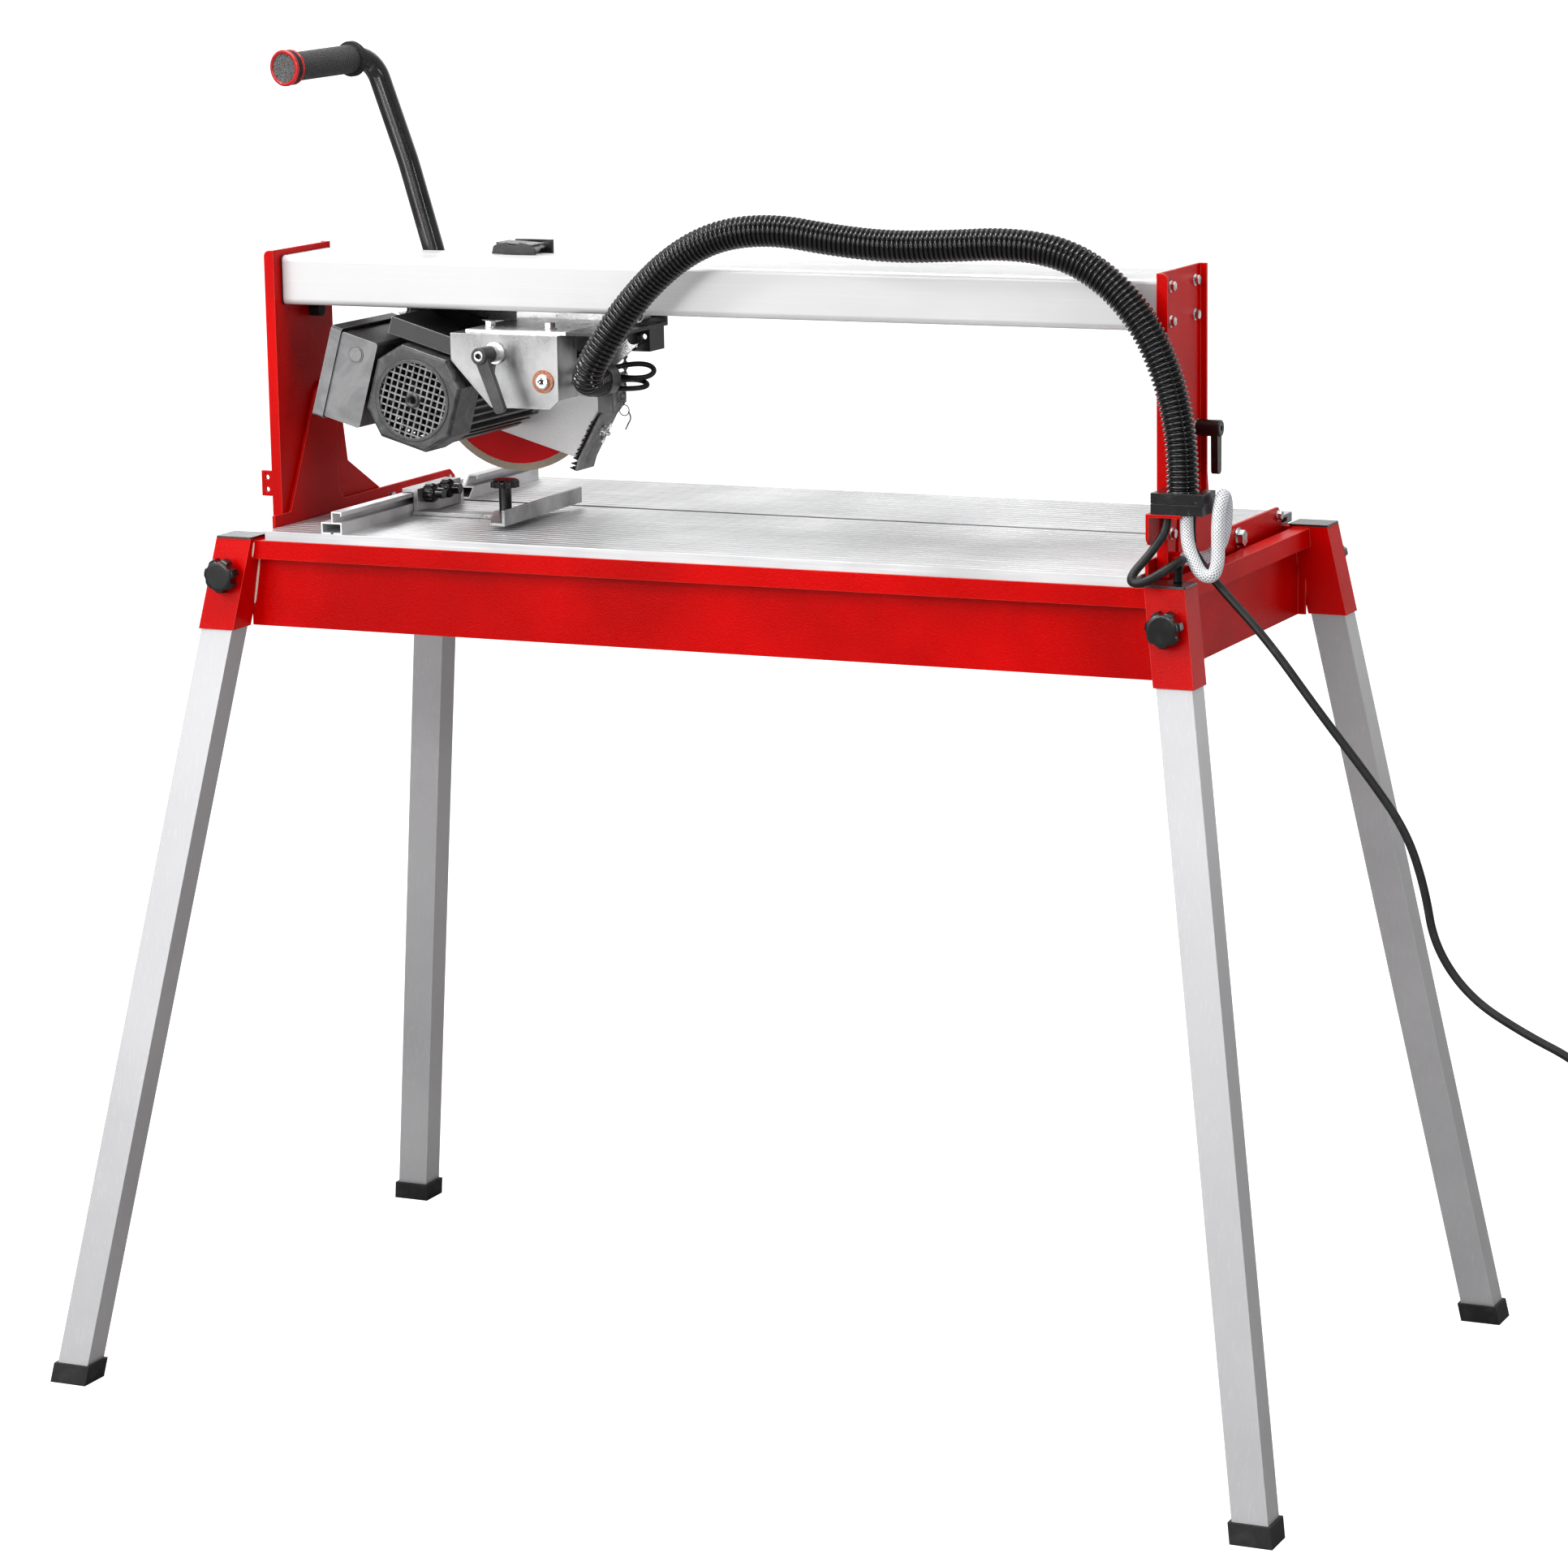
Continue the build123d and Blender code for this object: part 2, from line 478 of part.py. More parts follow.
def make_carriage(handle_outside):
    """Folded steel carriage behind the rail, with a shelf below it and saddles for the handle."""
    ear_left, ear_right = EAR_X
    nose_low, nose_high = PLATE_NOTCH_Z
    back = front_plate([(PLATE_LEFT, SHELF_Z0), (CARRIAGE_RIGHT, SHELF_Z0), (CARRIAGE_RIGHT, EAR_FOOT),
                        (ear_right, EAR_FOOT), (ear_right, EAR_TOP), (ear_left, EAR_TOP),
                        (ear_left, EAR_FOOT), (PLATE_LEFT, EAR_FOOT), (CARRIAGE_LEFT, nose_high),
                        (CARRIAGE_LEFT, nose_low)], PLATE_Y0, PLATE_Y1)
    shelf = block(-262, CARRIAGE_RIGHT, -166, PLATE_Y1, SHELF_Z0, SHELF_Z1)
    plate = back + shelf
    for _, x, z, radius in roller_places():
        plate -= rod((x, PLATE_Y0 - 1, z), (x, PLATE_Y1 + 1, z), radius * AXLE_SHARE)
    for x, z in SADDLES:
        plate += block(x - 15, x + 15, PLATE_Y1, PLATE_Y1 + 14, z - 7, z + 7)
    plate -= handle_outside
    for x in SHELF_BOLT_X:
        plate -= Pos(x, SHELF_BOLT_Y, SHELF_Z0) * Cylinder(3.2, 20)
    return plate


def make_roller(x, z, radius):
    """Plain roller with a running clearance on its axle and on the rail."""
    front, rear = ROLLER_Y
    roller = rod((x, front, z), (x, rear, z), radius - 0.06)
    return roller - rod((x, front - 1, z), (x, rear + 1, z), radius * AXLE_SHARE + 0.05)


def make_axle(x, z, radius):
    """Shouldered axle: a head in front of the roller and a nut behind the plate."""
    inner = radius * AXLE_SHARE
    front, rear = ROLLER_Y
    nut_end = PLATE_Y1 + 4
    axle = rod((x, front - 2.2, z), (x, nut_end, z), inner)
    axle += rod((x, front - 3.5, z), (x, front - 1, z), inner * 1.5)
    axle += rod((x, rear + 1, z), (x, PLATE_Y0, z), inner * 1.5)
    return axle + rod((x, PLATE_Y1, z), (x, nut_end, z), inner * 1.7)


HANDLE_ROUTE = [(-352, -34, 1090), (-368, -34, 1150), (-394, -34, 1238), (-432.5, -34, 1344.5),
                (-456.5, -164.4, 1339.4)]
HANDLE_BENDS = [60, 300, 25]
GRIP_LENGTH = 112.0


def make_handle():
    """Bent tube that rises behind the rail and turns forward into the grip."""
    path = FilletPolyline(*HANDLE_ROUTE, radius=HANDLE_BENDS)
    start = Plane(origin=path @ 0, z_dir=path % 0)
    outside = sweep(start * Circle(11.0), path=path)
    return outside, outside - sweep(start * Circle(9.0), path=path)


def make_grip():
    """Rubber sleeve with a stop flange and a capped end, along the last run of the handle."""
    end = Vector(*HANDLE_ROUTE[-1])
    along = end - Vector(*HANDLE_ROUTE[-2])
    direction = along.normalized()
    plane = Plane(origin=end - direction * (GRIP_LENGTH - 6), z_dir=direction)
    start = Align.CENTER, Align.CENTER, Align.MIN
    grip = plane * Cylinder(14.5, GRIP_LENGTH, align=start)
    grip += plane * Cylinder(16.0, 4, align=start)
    grip += plane * Pos(0, 0, 4) * Cylinder(18.0, 5, align=start)
    grip += plane * Pos(0, 0, GRIP_LENGTH - 12) * Cylinder(17.0, 12, align=start)
    return grip - plane * Pos(0, 0, -1) * Cylinder(11.05, GRIP_LENGTH - 5, align=start)


BRACKET_FRONT = -172.0
SHELF_BOLT_X = (-247.0, -180.0)
SHELF_BOLT_Y = -140.0
PIVOT_WORLD_X = BLADE_X + PIVOT_X * cos(radians(HEAD_TILT)) + PIVOT_Z * sin(radians(HEAD_TILT))
PIVOT_WORLD_Z = BLADE_Z - PIVOT_X * sin(radians(HEAD_TILT)) + PIVOT_Z * cos(radians(HEAD_TILT))
STUD_WORLD_X = BLADE_X + STUD_X * cos(radians(HEAD_TILT)) + STUD_Z * sin(radians(HEAD_TILT))
STUD_WORLD_Z = BLADE_Z - STUD_X * sin(radians(HEAD_TILT)) + STUD_Z * cos(radians(HEAD_TILT))


def make_pivot_bracket():
    """Folded bracket under the carriage: front and rear cheeks, right-hand return, top flange."""
    shape = [(-276, 1051), (-232, 1005), (-166, 1005), (-156, 1014), (-156, SHELF_Z0), (-276, SHELF_Z0)]
    y0, y1 = BRACKET_FRONT, BRACKET_FRONT + SHEET
    cheek = front_plate(shape, y0, y1)
    slot = arc_slot(hypot(STUD_X - PIVOT_X, STUD_Z - PIVOT_Z),
                    degrees(atan2(STUD_WORLD_Z - PIVOT_WORLD_Z, STUD_WORLD_X - PIVOT_WORLD_X)) - 1.0,
                    degrees(atan2(STUD_WORLD_Z - PIVOT_WORLD_Z, STUD_WORLD_X - PIVOT_WORLD_X))
                    + PLUNGE_RANGE + 1.0, 4.5)
    cheek -= extrude(front_plane(y1 + 1) * Pos(PIVOT_WORLD_X, PIVOT_WORLD_Z) * slot, 6)
    rear = front_plate(shape, -57, -54)
    bracket = cheek + rear
    bracket += block(-276, -156, y0, -54, SHELF_Z0 - SHEET, SHELF_Z0)
    bracket += block(-159, -156, y0, -130, 1014, SHELF_Z0)
    for x in SHELF_BOLT_X:
        bracket -= Pos(x, SHELF_BOLT_Y, SHELF_Z0) * Cylinder(3.2, 20)
    return bracket - rod((PIVOT_WORLD_X, y0 - 1, PIVOT_WORLD_Z), (PIVOT_WORLD_X, -53, PIVOT_WORLD_Z), 6.0)


def make_pivot_pin():
    """Plunge pivot pin with its copper washer and cross-head screw."""
    x, z, front = PIVOT_WORLD_X, PIVOT_WORLD_Z, BRACKET_FRONT
    screw = rod((x, front - 4.5, z), (x, front - 1.5, z), 7.5)
    screw = fillet(screw.edges().group_by(Axis.Y)[0], 1.5)
    screw -= block(x - 4, x + 4, front - 6, front - 3, z - 0.7, z + 0.7)
    screw -= block(x - 0.7, x + 0.7, front - 6, front - 3, z - 4, z + 4)
    pin = rod((x, front, z), (x, -50, z), 6.0) + rod((x, -54, z), (x, -51, z), 9.0)
    return pin + screw + rod((x, front - 1.5, z), (x, front, z), 11.5)


def make_shelf_bolts():
    """Hexagon bolts that hold the pivot bracket up against the shelf."""
    length = SHELF_Z1 - SHELF_Z0 + 2 * SHEET
    bolt = Rot(0, -90, 0) * hex_bolt(0, 0, 0, length, across=10, head=5)
    return [Pos(x, SHELF_BOLT_Y, SHELF_Z1) * bolt for x in SHELF_BOLT_X]


END_Y = -88.0                       # front of the black bracket at the shelf's right end


def make_end_bracket():
    """Black folded bracket below the right end of the shelf, with its two holes."""
    x0, x1 = CARRIAGE_RIGHT - 46, CARRIAGE_RIGHT
    face = front_plate([(x0, 1056), (x1, 1056), (x1, SHELF_Z0), (x0, SHELF_Z0)], END_Y, END_Y + SHEET)
    bracket = face + block(x1 - SHEET, x1, END_Y, -55, 1056, SHELF_Z0)
    bracket -= rod((x1 - 16, END_Y - 1, 1062), (x1 - 16, END_Y + 4, 1062), 2.2)
    return bracket - rod((x1 - 6, END_Y - 1, 1071), (x1 - 6, END_Y + 4, 1071), 2.8)


def make_link_arm():
    """Rounded steel link on a black roller stud, held to the end bracket."""
    a, b = Vector(-108, 0, 1070), Vector(-135, 0, 1047)
    middle, run = (a + b) / 2, b - a
    bar = extrude(front_plane(END_Y - 1.2) * Pos(middle.X, middle.Z)
                  * Rot(0, 0, degrees(atan2(run.Z, run.X))) * SlotOverall(run.length + 12, 12), 3.0)
    return (bar + rod((a.X, END_Y, a.Z), (a.X, END_Y - 4.2, a.Z), 4.0)
            + rod((a.X, END_Y - 12, a.Z), (a.X, END_Y - 4.2, a.Z), 6.0))


FITTING_X, FITTING_Z = -120.0, 1034.0
CONDUIT_END_Y = -155.0


def make_conduit_fitting():
    """Sleeve that takes the conduit's end, on a hanger strip below the shelf."""
    x, z = FITTING_X, FITTING_Z
    sleeve = rod((x, CONDUIT_END_Y, z), (x, -138, z), CONDUIT_R + 1.5)
    sleeve += block(x - 8, x + 8, -141, -138, 1000, SHELF_Z0)
    return sleeve - rod((x, -137, z), (x, CONDUIT_END_Y + 6, z), CONDUIT_R - 3)


# ---- Head ---------------------------------------------------------------------------------
def head(shape):
    """Place a piece drawn about the motor axis onto the raised, leaning head."""
    return Pos(BLADE_X, 0, BLADE_Z) * Rot(0, HEAD_TILT, 0) * shape


ARM_Y0, ARM_Y1 = -166.0, -60.0
ARM_TOP = 71.5


def make_arm():
    """Channel above the motor that runs to the plunge pivot, with an ear for the clamp stud."""
    x0, x1 = -50.0, 142.0
    cheek = [(x0, 54), (44, 54), (60, 47), (124, 47), (x1, 54), (x1, 68), (132, ARM_TOP), (92, ARM_TOP),
             (86, 81), (62, 81), (54, ARM_TOP), (x0, ARM_TOP)]
    arm = front_plate(cheek, ARM_Y0, ARM_Y0 + SHEET)
    arm += front_plate([p for p in cheek if p[1] < 80], ARM_Y1 - SHEET, ARM_Y1)
    arm += block(x0, 46, ARM_Y0, ARM_Y1, ARM_TOP - SHEET, ARM_TOP)
    arm -= rod((PIVOT_X, ARM_Y0 - 1, PIVOT_Z), (PIVOT_X, ARM_Y1 + 1, PIVOT_Z), 6.05)
    arm += rod((STUD_X, ARM_Y0 - 7, STUD_Z), (STUD_X, ARM_Y0 + 1, STUD_Z), 3.9)
    return arm + rod((STUD_X, ARM_Y0 - 30, STUD_Z), (STUD_X, ARM_Y0 - 7, STUD_Z), 3.9)


LEVER_LEAN = 21.0                   # the locked lever leans by this much from straight down


def make_plunge_lever():
    """Clamp lever in front of the bracket, on the arm's stud."""
    seat = BRACKET_FRONT - 0.5
    lever = clamp_lever(36, 8.5, 60, 13) + Cylinder(11, 3, align=(Align.CENTER, Align.CENTER, Align.MIN))
    lever -= Cylinder(3.95, 52)
    turned = Rot(0, 0, LEVER_LEAN + HEAD_TILT) * lever
    return head(Plane(origin=(STUD_X, seat, STUD_Z), x_dir=(1, 0, 0), z_dir=(0, -1, 0)) * turned)


def octagon(half, cut):
    """A square with its corners cut off."""
    return chamfer(Rectangle(2 * half, 2 * half).vertices(), cut)


def make_fan_cover():
    """Moulded octagonal cover with a square-mesh air grille in its face."""
    depth = COVER_REAR - COVER_FRONT
    at_rear = front_plane(COVER_REAR) * Pos(0, COVER_LIFT)
    cover = extrude(at_rear * octagon(COVER_HALF, 23), depth)
    cover = fillet(cover.edges().group_by(Axis.Y)[0], 3.5)
    cover -= extrude(at_rear * octagon(COVER_HALF - 2.5, 22), depth - 4)
    cover -= rod((0, COVER_FRONT - 1, 0), (0, COVER_REAR, 0), 38)
    cover += extrude(front_plane(COVER_FRONT + 2.4) * (Circle(41) - Circle(38)), 3.4)
    pitch, bar = 6.9, 1.7
    mesh = Circle(8)
    for i in range(-5, 6):
        mesh += Pos(i * pitch, 0) * Rectangle(bar, 80)
        mesh += Pos(0, i * pitch) * Rectangle(80, bar)
    mesh = (mesh & Circle(38.5)) - Circle(4)
    return cover + extrude(front_plane(COVER_FRONT + 3) * mesh, 2.0)


def make_motor_housing():
    """Finned aluminium housing with its closed drive end and the foot under the arm."""
    half, fin, pitch = 45.0, 2.2, 8.2
    fins = Circle(37.5)
    for i in range(-5, 6):
        fins += Pos(0, i * pitch) * Rectangle(2 * half, fin)
    for i in range(-3, 4):
        fins += Pos(i * pitch, 0) * Rectangle(fin, 2 * half)
    fins &= octagon(half, 21)
    length = HOUSING_REAR - COVER_REAR
    housing = extrude(front_plane(HOUSING_REAR) * fins, length)
    housing += extrude(front_plane(HOUSING_REAR) * octagon(half - 1, 22), 14)
    housing += extrude(front_plane(COVER_REAR + 10) * Circle(41), 10)
    housing -= rod((0, COVER_REAR + 8, 0), (0, HOUSING_REAR - 8, 0), 32)
    housing -= rod((0, COVER_REAR - 1, 0), (0, HOUSING_REAR + 1, 0), 12)
    for y0, y1 in bearing_places():
        housing -= rod((0, y0, 0), (0, y1, 0), BEARING_R)
    foot = block(-24, 24, -124, -78, 40, ARM_TOP - SHEET)
    neck = block(-53.5, -40, -124, -76, -26, 26)
    core = rod((0, COVER_REAR + 8, 0), (0, HOUSING_REAR - 8, 0), 34)
    return housing + (foot - core) + (neck - core)


BEARING_R, SHAFT_R = 17.5, 8.0


def bearing_places():
    """Front and rear bearing seats, from and to along the motor axis."""
    return [(COVER_REAR - 1, COVER_REAR + 8), (HOUSING_REAR - 10, HOUSING_REAR + 1)]


def make_bearings():
    rings = []
    for y0, y1 in ((COVER_REAR, COVER_REAR + 8), (HOUSING_REAR - 8, HOUSING_REAR)):
        ring = rod((0, y0, 0), (0, y1, 0), BEARING_R) - rod((0, y0 - 1, 0), (0, y1 + 1, 0), SHAFT_R + 0.05)
        rings.append(ring)
    return rings


def make_rotor():
    """Motor shaft with its rotor pack, cooling fan and arbor, all turning together."""
    rotor = rod((0, -170, 0), (0, 61, 0), SHAFT_R) + rod((0, -112, 0), (0, -2, 0), 28)
    rotor += rod((0, -168, 0), (0, -150, 0), 14) + rod((0, -153, 0), (0, -150, 0), 34)
    for i in range(9):
        rotor += Rot(0, 40 * i, 0) * block(12, 38, -168, -152, -1, 1)
    return rotor


BLADE_BODY, BLADE_RIM = 1.6, 2.2


def make_blade():
    """Diamond blade: steel core, continuous rim a little thicker than the core."""
    core = rod((0, BLADE_Y - BLADE_BODY / 2, 0), (0, BLADE_Y + BLADE_BODY / 2, 0), BLADE_R - 7)
    rim = rod((0, BLADE_Y - BLADE_RIM / 2, 0), (0, BLADE_Y + BLADE_RIM / 2, 0), BLADE_R)
    rim -= rod((0, BLADE_Y - 3, 0), (0, BLADE_Y + 3, 0), BLADE_R - 7.5)
    return core + rim - rod((0, BLADE_Y - 3, 0), (0, BLADE_Y + 3, 0), BORE_R)


def make_blade_clamp():
    """Inner flange with its centring boss, outer flange and hexagon arbor nut."""
    front, rear = BLADE_Y - BLADE_BODY / 2, BLADE_Y + BLADE_BODY / 2
    inner = rod((0, front - 8, 0), (0, front, 0), 25) + rod((0, front - 8, 0), (0, rear - 0.3, 0), BORE_R)
    outer = rod((0, rear, 0), (0, rear + 4, 0), 25)
    nut = extrude(front_plane(rear + 13) * RegularPolygon(12, 6, major_radius=False), 9)
    shaft = rod((0, 0, 0), (0, 80, 0), SHAFT_R)
    return whole(inner - shaft, outer - shaft, nut - shaft)


def guard_outline(inset):
    """Side view of the blade guard: a round top on a flat, open bottom, as seen from the front."""
    radius = 110.5 - inset
    bottom = -57.0
    lower = outline([(-96 + inset, bottom), (95 - inset, bottom), (radius - 0.6, 8), (-radius + 0.6, 8)])
    return lower + (Circle(radius) & Pos(0, 60) * Rectangle(240, 120))


def make_guard():
    """Blade guard: a flat-bottomed shell around the upper blade, open below."""
    outer = extrude(front_plane(GUARD_REAR) * guard_outline(0), GUARD_REAR - GUARD_FRONT)
    outer = fillet(outer.edges().group_by(Axis.Y)[0].filter_by(lambda e: e.center().Z > -50), 2.0)
    inside = guard_outline(2.5) + Pos(0, -50) * Rectangle(185, 30)
    inner = extrude(front_plane(GUARD_REAR - 2) * inside, GUARD_REAR - GUARD_FRONT - 4)
    guard = outer - inner - rod((0, GUARD_FRONT - 1, 0), (0, GUARD_FRONT + 3, 0), 22)
    boss = rod((0, HOUSING_REAR, 0), (0, GUARD_FRONT, 0), 30) - rod((0, 20, 0), (0, 40, 0), 22)
    return guard + boss


def make_splash_guard():
    """Bent splash plate in front of the blade: two bends and a hanging strip."""
    thick = 2.0
    line = [(109.5, 38), (118, 8), (111, -8), (99.5, -58), (99, -70)]
    points = line + [(x + thick, z) for x, z in reversed(line)]
    plate = front_plate(points, 26, 66)
    lugs = block(100, 111, 36, 42, 24, 36) + block(100, 111, 52, 58, 24, 36)
    guard = extrude(front_plane(GUARD_REAR) * guard_outline(0), GUARD_REAR - GUARD_FRONT)
    return plate + (lugs - guard)


def make_junction_box():
    """Switch box along the motor's left side, hollow behind its lid."""
    box = block(-96, -53.5, -176, -51, -48, 42)
    box = fillet(box.edges().filter_by(Axis.Y), 3)
    box = box - block(-97, -56, -173, -54, -45, 39)
    return box + rod((-75, -177.2, 24), (-75, -175, 24), 7)


def make_switch_lid():
    """Lid of the switch box with the raised housing of the two buttons."""
    lid = block(-108, -96, -178, -49, -51, 45)
    lid = fillet(lid.edges().filter_by(Axis.X), 4)
    lid += fillet(block(-112, -107, -158, -84, -30, 34).edges().filter_by(Axis.X), 3)
    for z in BUTTON_Z:
        lid += rod((-115, -121, z), (-111, -121, z), 13)
        lid -= rod((-116, -121, z), (-95, -121, z), 9.05)
    return lid


BUTTON_Z = (17.0, -14.0)


def make_button(z):
    button = rod((-118.5, -121, z), (-101, -121, z), 9.0)
    return fillet(button.edges().group_by(Axis.X)[0], 1.5)


# ---- Cords --------------------------------------------------------------------------------
CLAMP_CENTRE = (510.0, -195.5)
CLAMP_BOTTOM = 935.0
CONDUIT_ROUTE = [(510, -195.5, 945.4), (510, -195.5, 985), (505, -195.5, 1025), (493, -195.5, 1070),
                 (470, -195.5, 1115), (435, -195.5, 1152), (390, -195.5, 1176), (335, -195.5, 1183),
                 (275, -195.5, 1179), (215, -195.5, 1177), (155, -195.5, 1182), (95, -195.5, 1191),
                 (40, -195.5, 1186), (-4, -195.5, 1167), (-43, -195.5, 1136), (-75, -196, 1100),
                 (-98, -197, 1066), (-113, -193, 1044.5), (FITTING_X, -176, FITTING_Z),
                 (FITTING_X, CONDUIT_END_Y, FITTING_Z)]
MAINS_ROUTE = [(527, -190, CLAMP_BOTTOM), (527, -190, 915), (535, -193, 893), (552, -198, 868),
               (598, -207, 822), (650, -212, 757), (698, -211, 699), (734, -209, 650), (752, -208, 598),
               (762, -209, 543), (797, -211, 497), (850, -213, 468), (903, -214, 446), (948, -213, 405),
               (974, -210, 345), (984, -210, 275), (990, -212, 205), (996, -217, 145), (1002, -225, 92),
               (1012, -233, 50), (1034, -237, 18), (1066, -230, 4.3), (1092, -206, 4.3), (1092, -170, 4.3),
               (1069, -142, 4.3)]
TAIL_ROUTE = [(1062, -122, 12.5), (1062, -102, 12.7), (1062, -82, 16), (1062, -66, 19), (1062, -54, 19)]
COIL_CENTRE = (1010.0, -130.0)
COIL_TURN_R = 44.0
COIL_COLUMNS, COIL_LAYERS = 3, 2
PUMP_ROUTE = [(498, -206, CLAMP_BOTTOM), (498, -206, 921), (491, -217, 906), (484, -228, 894),
              (478, -239, 885), (477, -248, 878), (483, -254, 875.5), (492, -254, 877), (501, -249, 881.5),
              (510, -241, 888), (517, -232, 893), (519, -222, 895), (515, -211, 893), (509, -203.5, 888),
              (507, -201, 879), (507, -201, TUB_TOP + 4)]
HOSE_ROUTE = [(524, -205, CLAMP_BOTTOM), (524, -205, 921), (527, -211, 906), (530, -215.5, 894),
              (534, -219, 882), (546.5, -219, 881), (550.5, -216, 893), (551, -213, 907), (551, -210, 925),
              (551, -204, 942), (550, -196, 951), (548, -187, 953), (547, -180, 946), (546, -176, 933),
              (543, -173, 915), (536, -168, 899), (523, -163, 889), (509, -160, 886), (496, -160, 886)]


def make_coil():
    """Outer shape of the wound-up mains cord: three turns side by side, two high."""
    half = COIL_COLUMNS * (CORD_R + 0.1)
    outer, inner = COIL_TURN_R + half, COIL_TURN_R - half
    height = 2 * COIL_LAYERS * (CORD_R + 0.15)
    ring = Cylinder(outer, height, align=(Align.CENTER, Align.CENTER, Align.MIN))
    ring -= Cylinder(inner, 3 * height)
    return Pos(*COIL_CENTRE, 0) * ring


def make_plug():
    """Two-pin mains plug that ends the cord, lying on the floor."""
    x, y, z = TAIL_ROUTE[-1]
    plug = rod((x, y, z), (x, y + 12, z), 7.5)
    body = rod((x, y + 10, z), (x, y + 46, z), 18.5)
    plug += fillet(body.edges(), 2.5)
    for dx in (-9.5, 9.5):
        plug += rod((x + dx, y + 45, z), (x + dx, y + 65, z), 2.4)
    return plug


def main():
    base_and_table()
    bridge()
    carriage()
    saw_head()
    cords()


def base_and_table():
    """Everything that stands still."""
    save("tub_frame", make_tub())
    plate = make_end_plate()
    save("end_plates", whole(mirrored_x(plate), plate))

    leg_face = (Rectangle(LEG_X, LEG_Y) - Rectangle(LEG_X - 2 * LEG_WALL, LEG_Y - 2 * LEG_WALL)).face()
    leg = splayed(leg_face, 4.0, 845.0)
    sx, sy = leg_point(KNOB_Z)
    leg -= rod((sx, sy, KNOB_Z), (sx, sy + 40, KNOB_Z), 4.2)
    save("legs", whole(*four_corners(leg)))
    boot = splayed(Rectangle(LEG_X + 6, LEG_Y + 6).face(), 0.0, BOOT_HEIGHT)
    boot -= splayed(Rectangle(LEG_X + 0.2, LEG_Y + 0.2).face(), 4.0, BOOT_HEIGHT + 1)
    save("leg_boots", whole(*four_corners(boot)))
    cap = splayed(RectangleRounded(SOCKET_X - 2 * SOCKET_WALL, SOCKET_Y - 2 * SOCKET_WALL, 2).face(),
                  TUB_TOP - 12, TUB_TOP + 2)
    cap += splayed(RectangleRounded(SOCKET_X + 1, SOCKET_Y + 1, 2).face(), TUB_TOP + 2, TUB_TOP + 4)
    save("socket_caps", whole(*four_corners(cap)))
    names = ("front_left", "front_right", "rear_left", "rear_right")
    for name, piece in zip(names, four_corners(make_leg_knob())):
        save(f"leg_knob_{name}", piece)

    save("table_front", make_table(TABLE_FRONT, BLADE_Y - SLOT_HALF, True))
    save("table_rear", make_table(BLADE_Y + SLOT_HALF, TABLE_REAR, False))
    save("fence_front", make_fence(TABLE_FRONT, BLADE_Y - SLOT_HALF - 1, False))
    save("fence_rear", make_fence(BLADE_Y + SLOT_HALF + 2, 212.0, True))
    save("tilt_hardware", make_tilt_hardware())
    right, left = make_tilt_levers()
    save("tilt_lever_right", right)
    save("tilt_lever_left", left)
    mitre_guide()
    save("water_pump", make_pump())
    save("drain_plug", make_drain_plug())


def bridge():
    """Posts and rail, which lean together about the tilt axis."""
    post = make_post()
    save("post_right", post + make_hose_bracket())
    save("post_left", mirrored_x(post) + make_mount_tab())
    save("rail", make_rail())
    gasket = side_plate([(RAIL_FRONT, RAIL_BOTTOM), (RAIL_REAR, RAIL_BOTTOM), (RAIL_REAR, RAIL_TOP),
                         (RAIL_FRONT, RAIL_TOP)], RAIL_HALF, POST_WEB, corner=5.9)
    for y, z in rail_bolt_places():
        gasket -= rod((RAIL_HALF - 1, y, z), (POST_WEB + 1, y, z), 3.0)
    buffer = rod((POST_WEB - 12, -100, 1090), (POST_WEB, -100, 1090), 7.0)
    save("rail_rubbers", whole(gasket, mirrored_x(gasket), buffer, mirrored_x(buffer)))
    bolts = [hex_bolt(POST_WEB + SHEET, y, z, 12) for y, z in rail_bolt_places()]
    bolts.append(hex_bolt(POST_WEB + SHEET, *STOP_BOLT, SHEET))
    save("rail_bolts", whole(*bolts, *[mirrored_x(bolt) for bolt in bolts]))
    save("conduit_clamp", make_conduit_clamp())
    save("conduit", cord("conduit", CONDUIT_ROUTE, CONDUIT_R))


def make_conduit_clamp():
    """Two-piece plastic clamp around the conduit's foot."""
    x, y = CLAMP_CENTRE
    lower = block(x - 25.5, x + 26, y - 18.5, y + 17.5, CLAMP_BOTTOM, CLAMP_BOTTOM + 10)
    upper = block(x - 25.5, x + 26, y - 18.5, y + 17.5, CLAMP_BOTTOM + 10.4, CLAMP_BOTTOM + 20.4)
    upper -= Pos(x, y, CLAMP_BOTTOM) * Cylinder(CONDUIT_R + 0.05, 60)
    return whole(lower, upper)


def carriage():
    """The carriage that rolls along the rail and carries the head."""
    handle_outside, handle_tube = make_handle()
    save("carriage", make_carriage(handle_outside))
    save("handle_tube", handle_tube)
    save("handle_grip", make_grip())
    for name, x, z, radius in roller_places():
        save(f"roller_{name}", make_roller(x, z, radius))
    axles = [make_axle(x, z, radius) for _, x, z, radius in roller_places()]
    save("carriage_fasteners", whole(*axles, make_pivot_pin(), *make_shelf_bolts()))
    save("pivot_bracket", make_pivot_bracket())
    save("end_bracket", make_end_bracket() + make_link_arm())
    save("conduit_fitting", make_conduit_fitting())


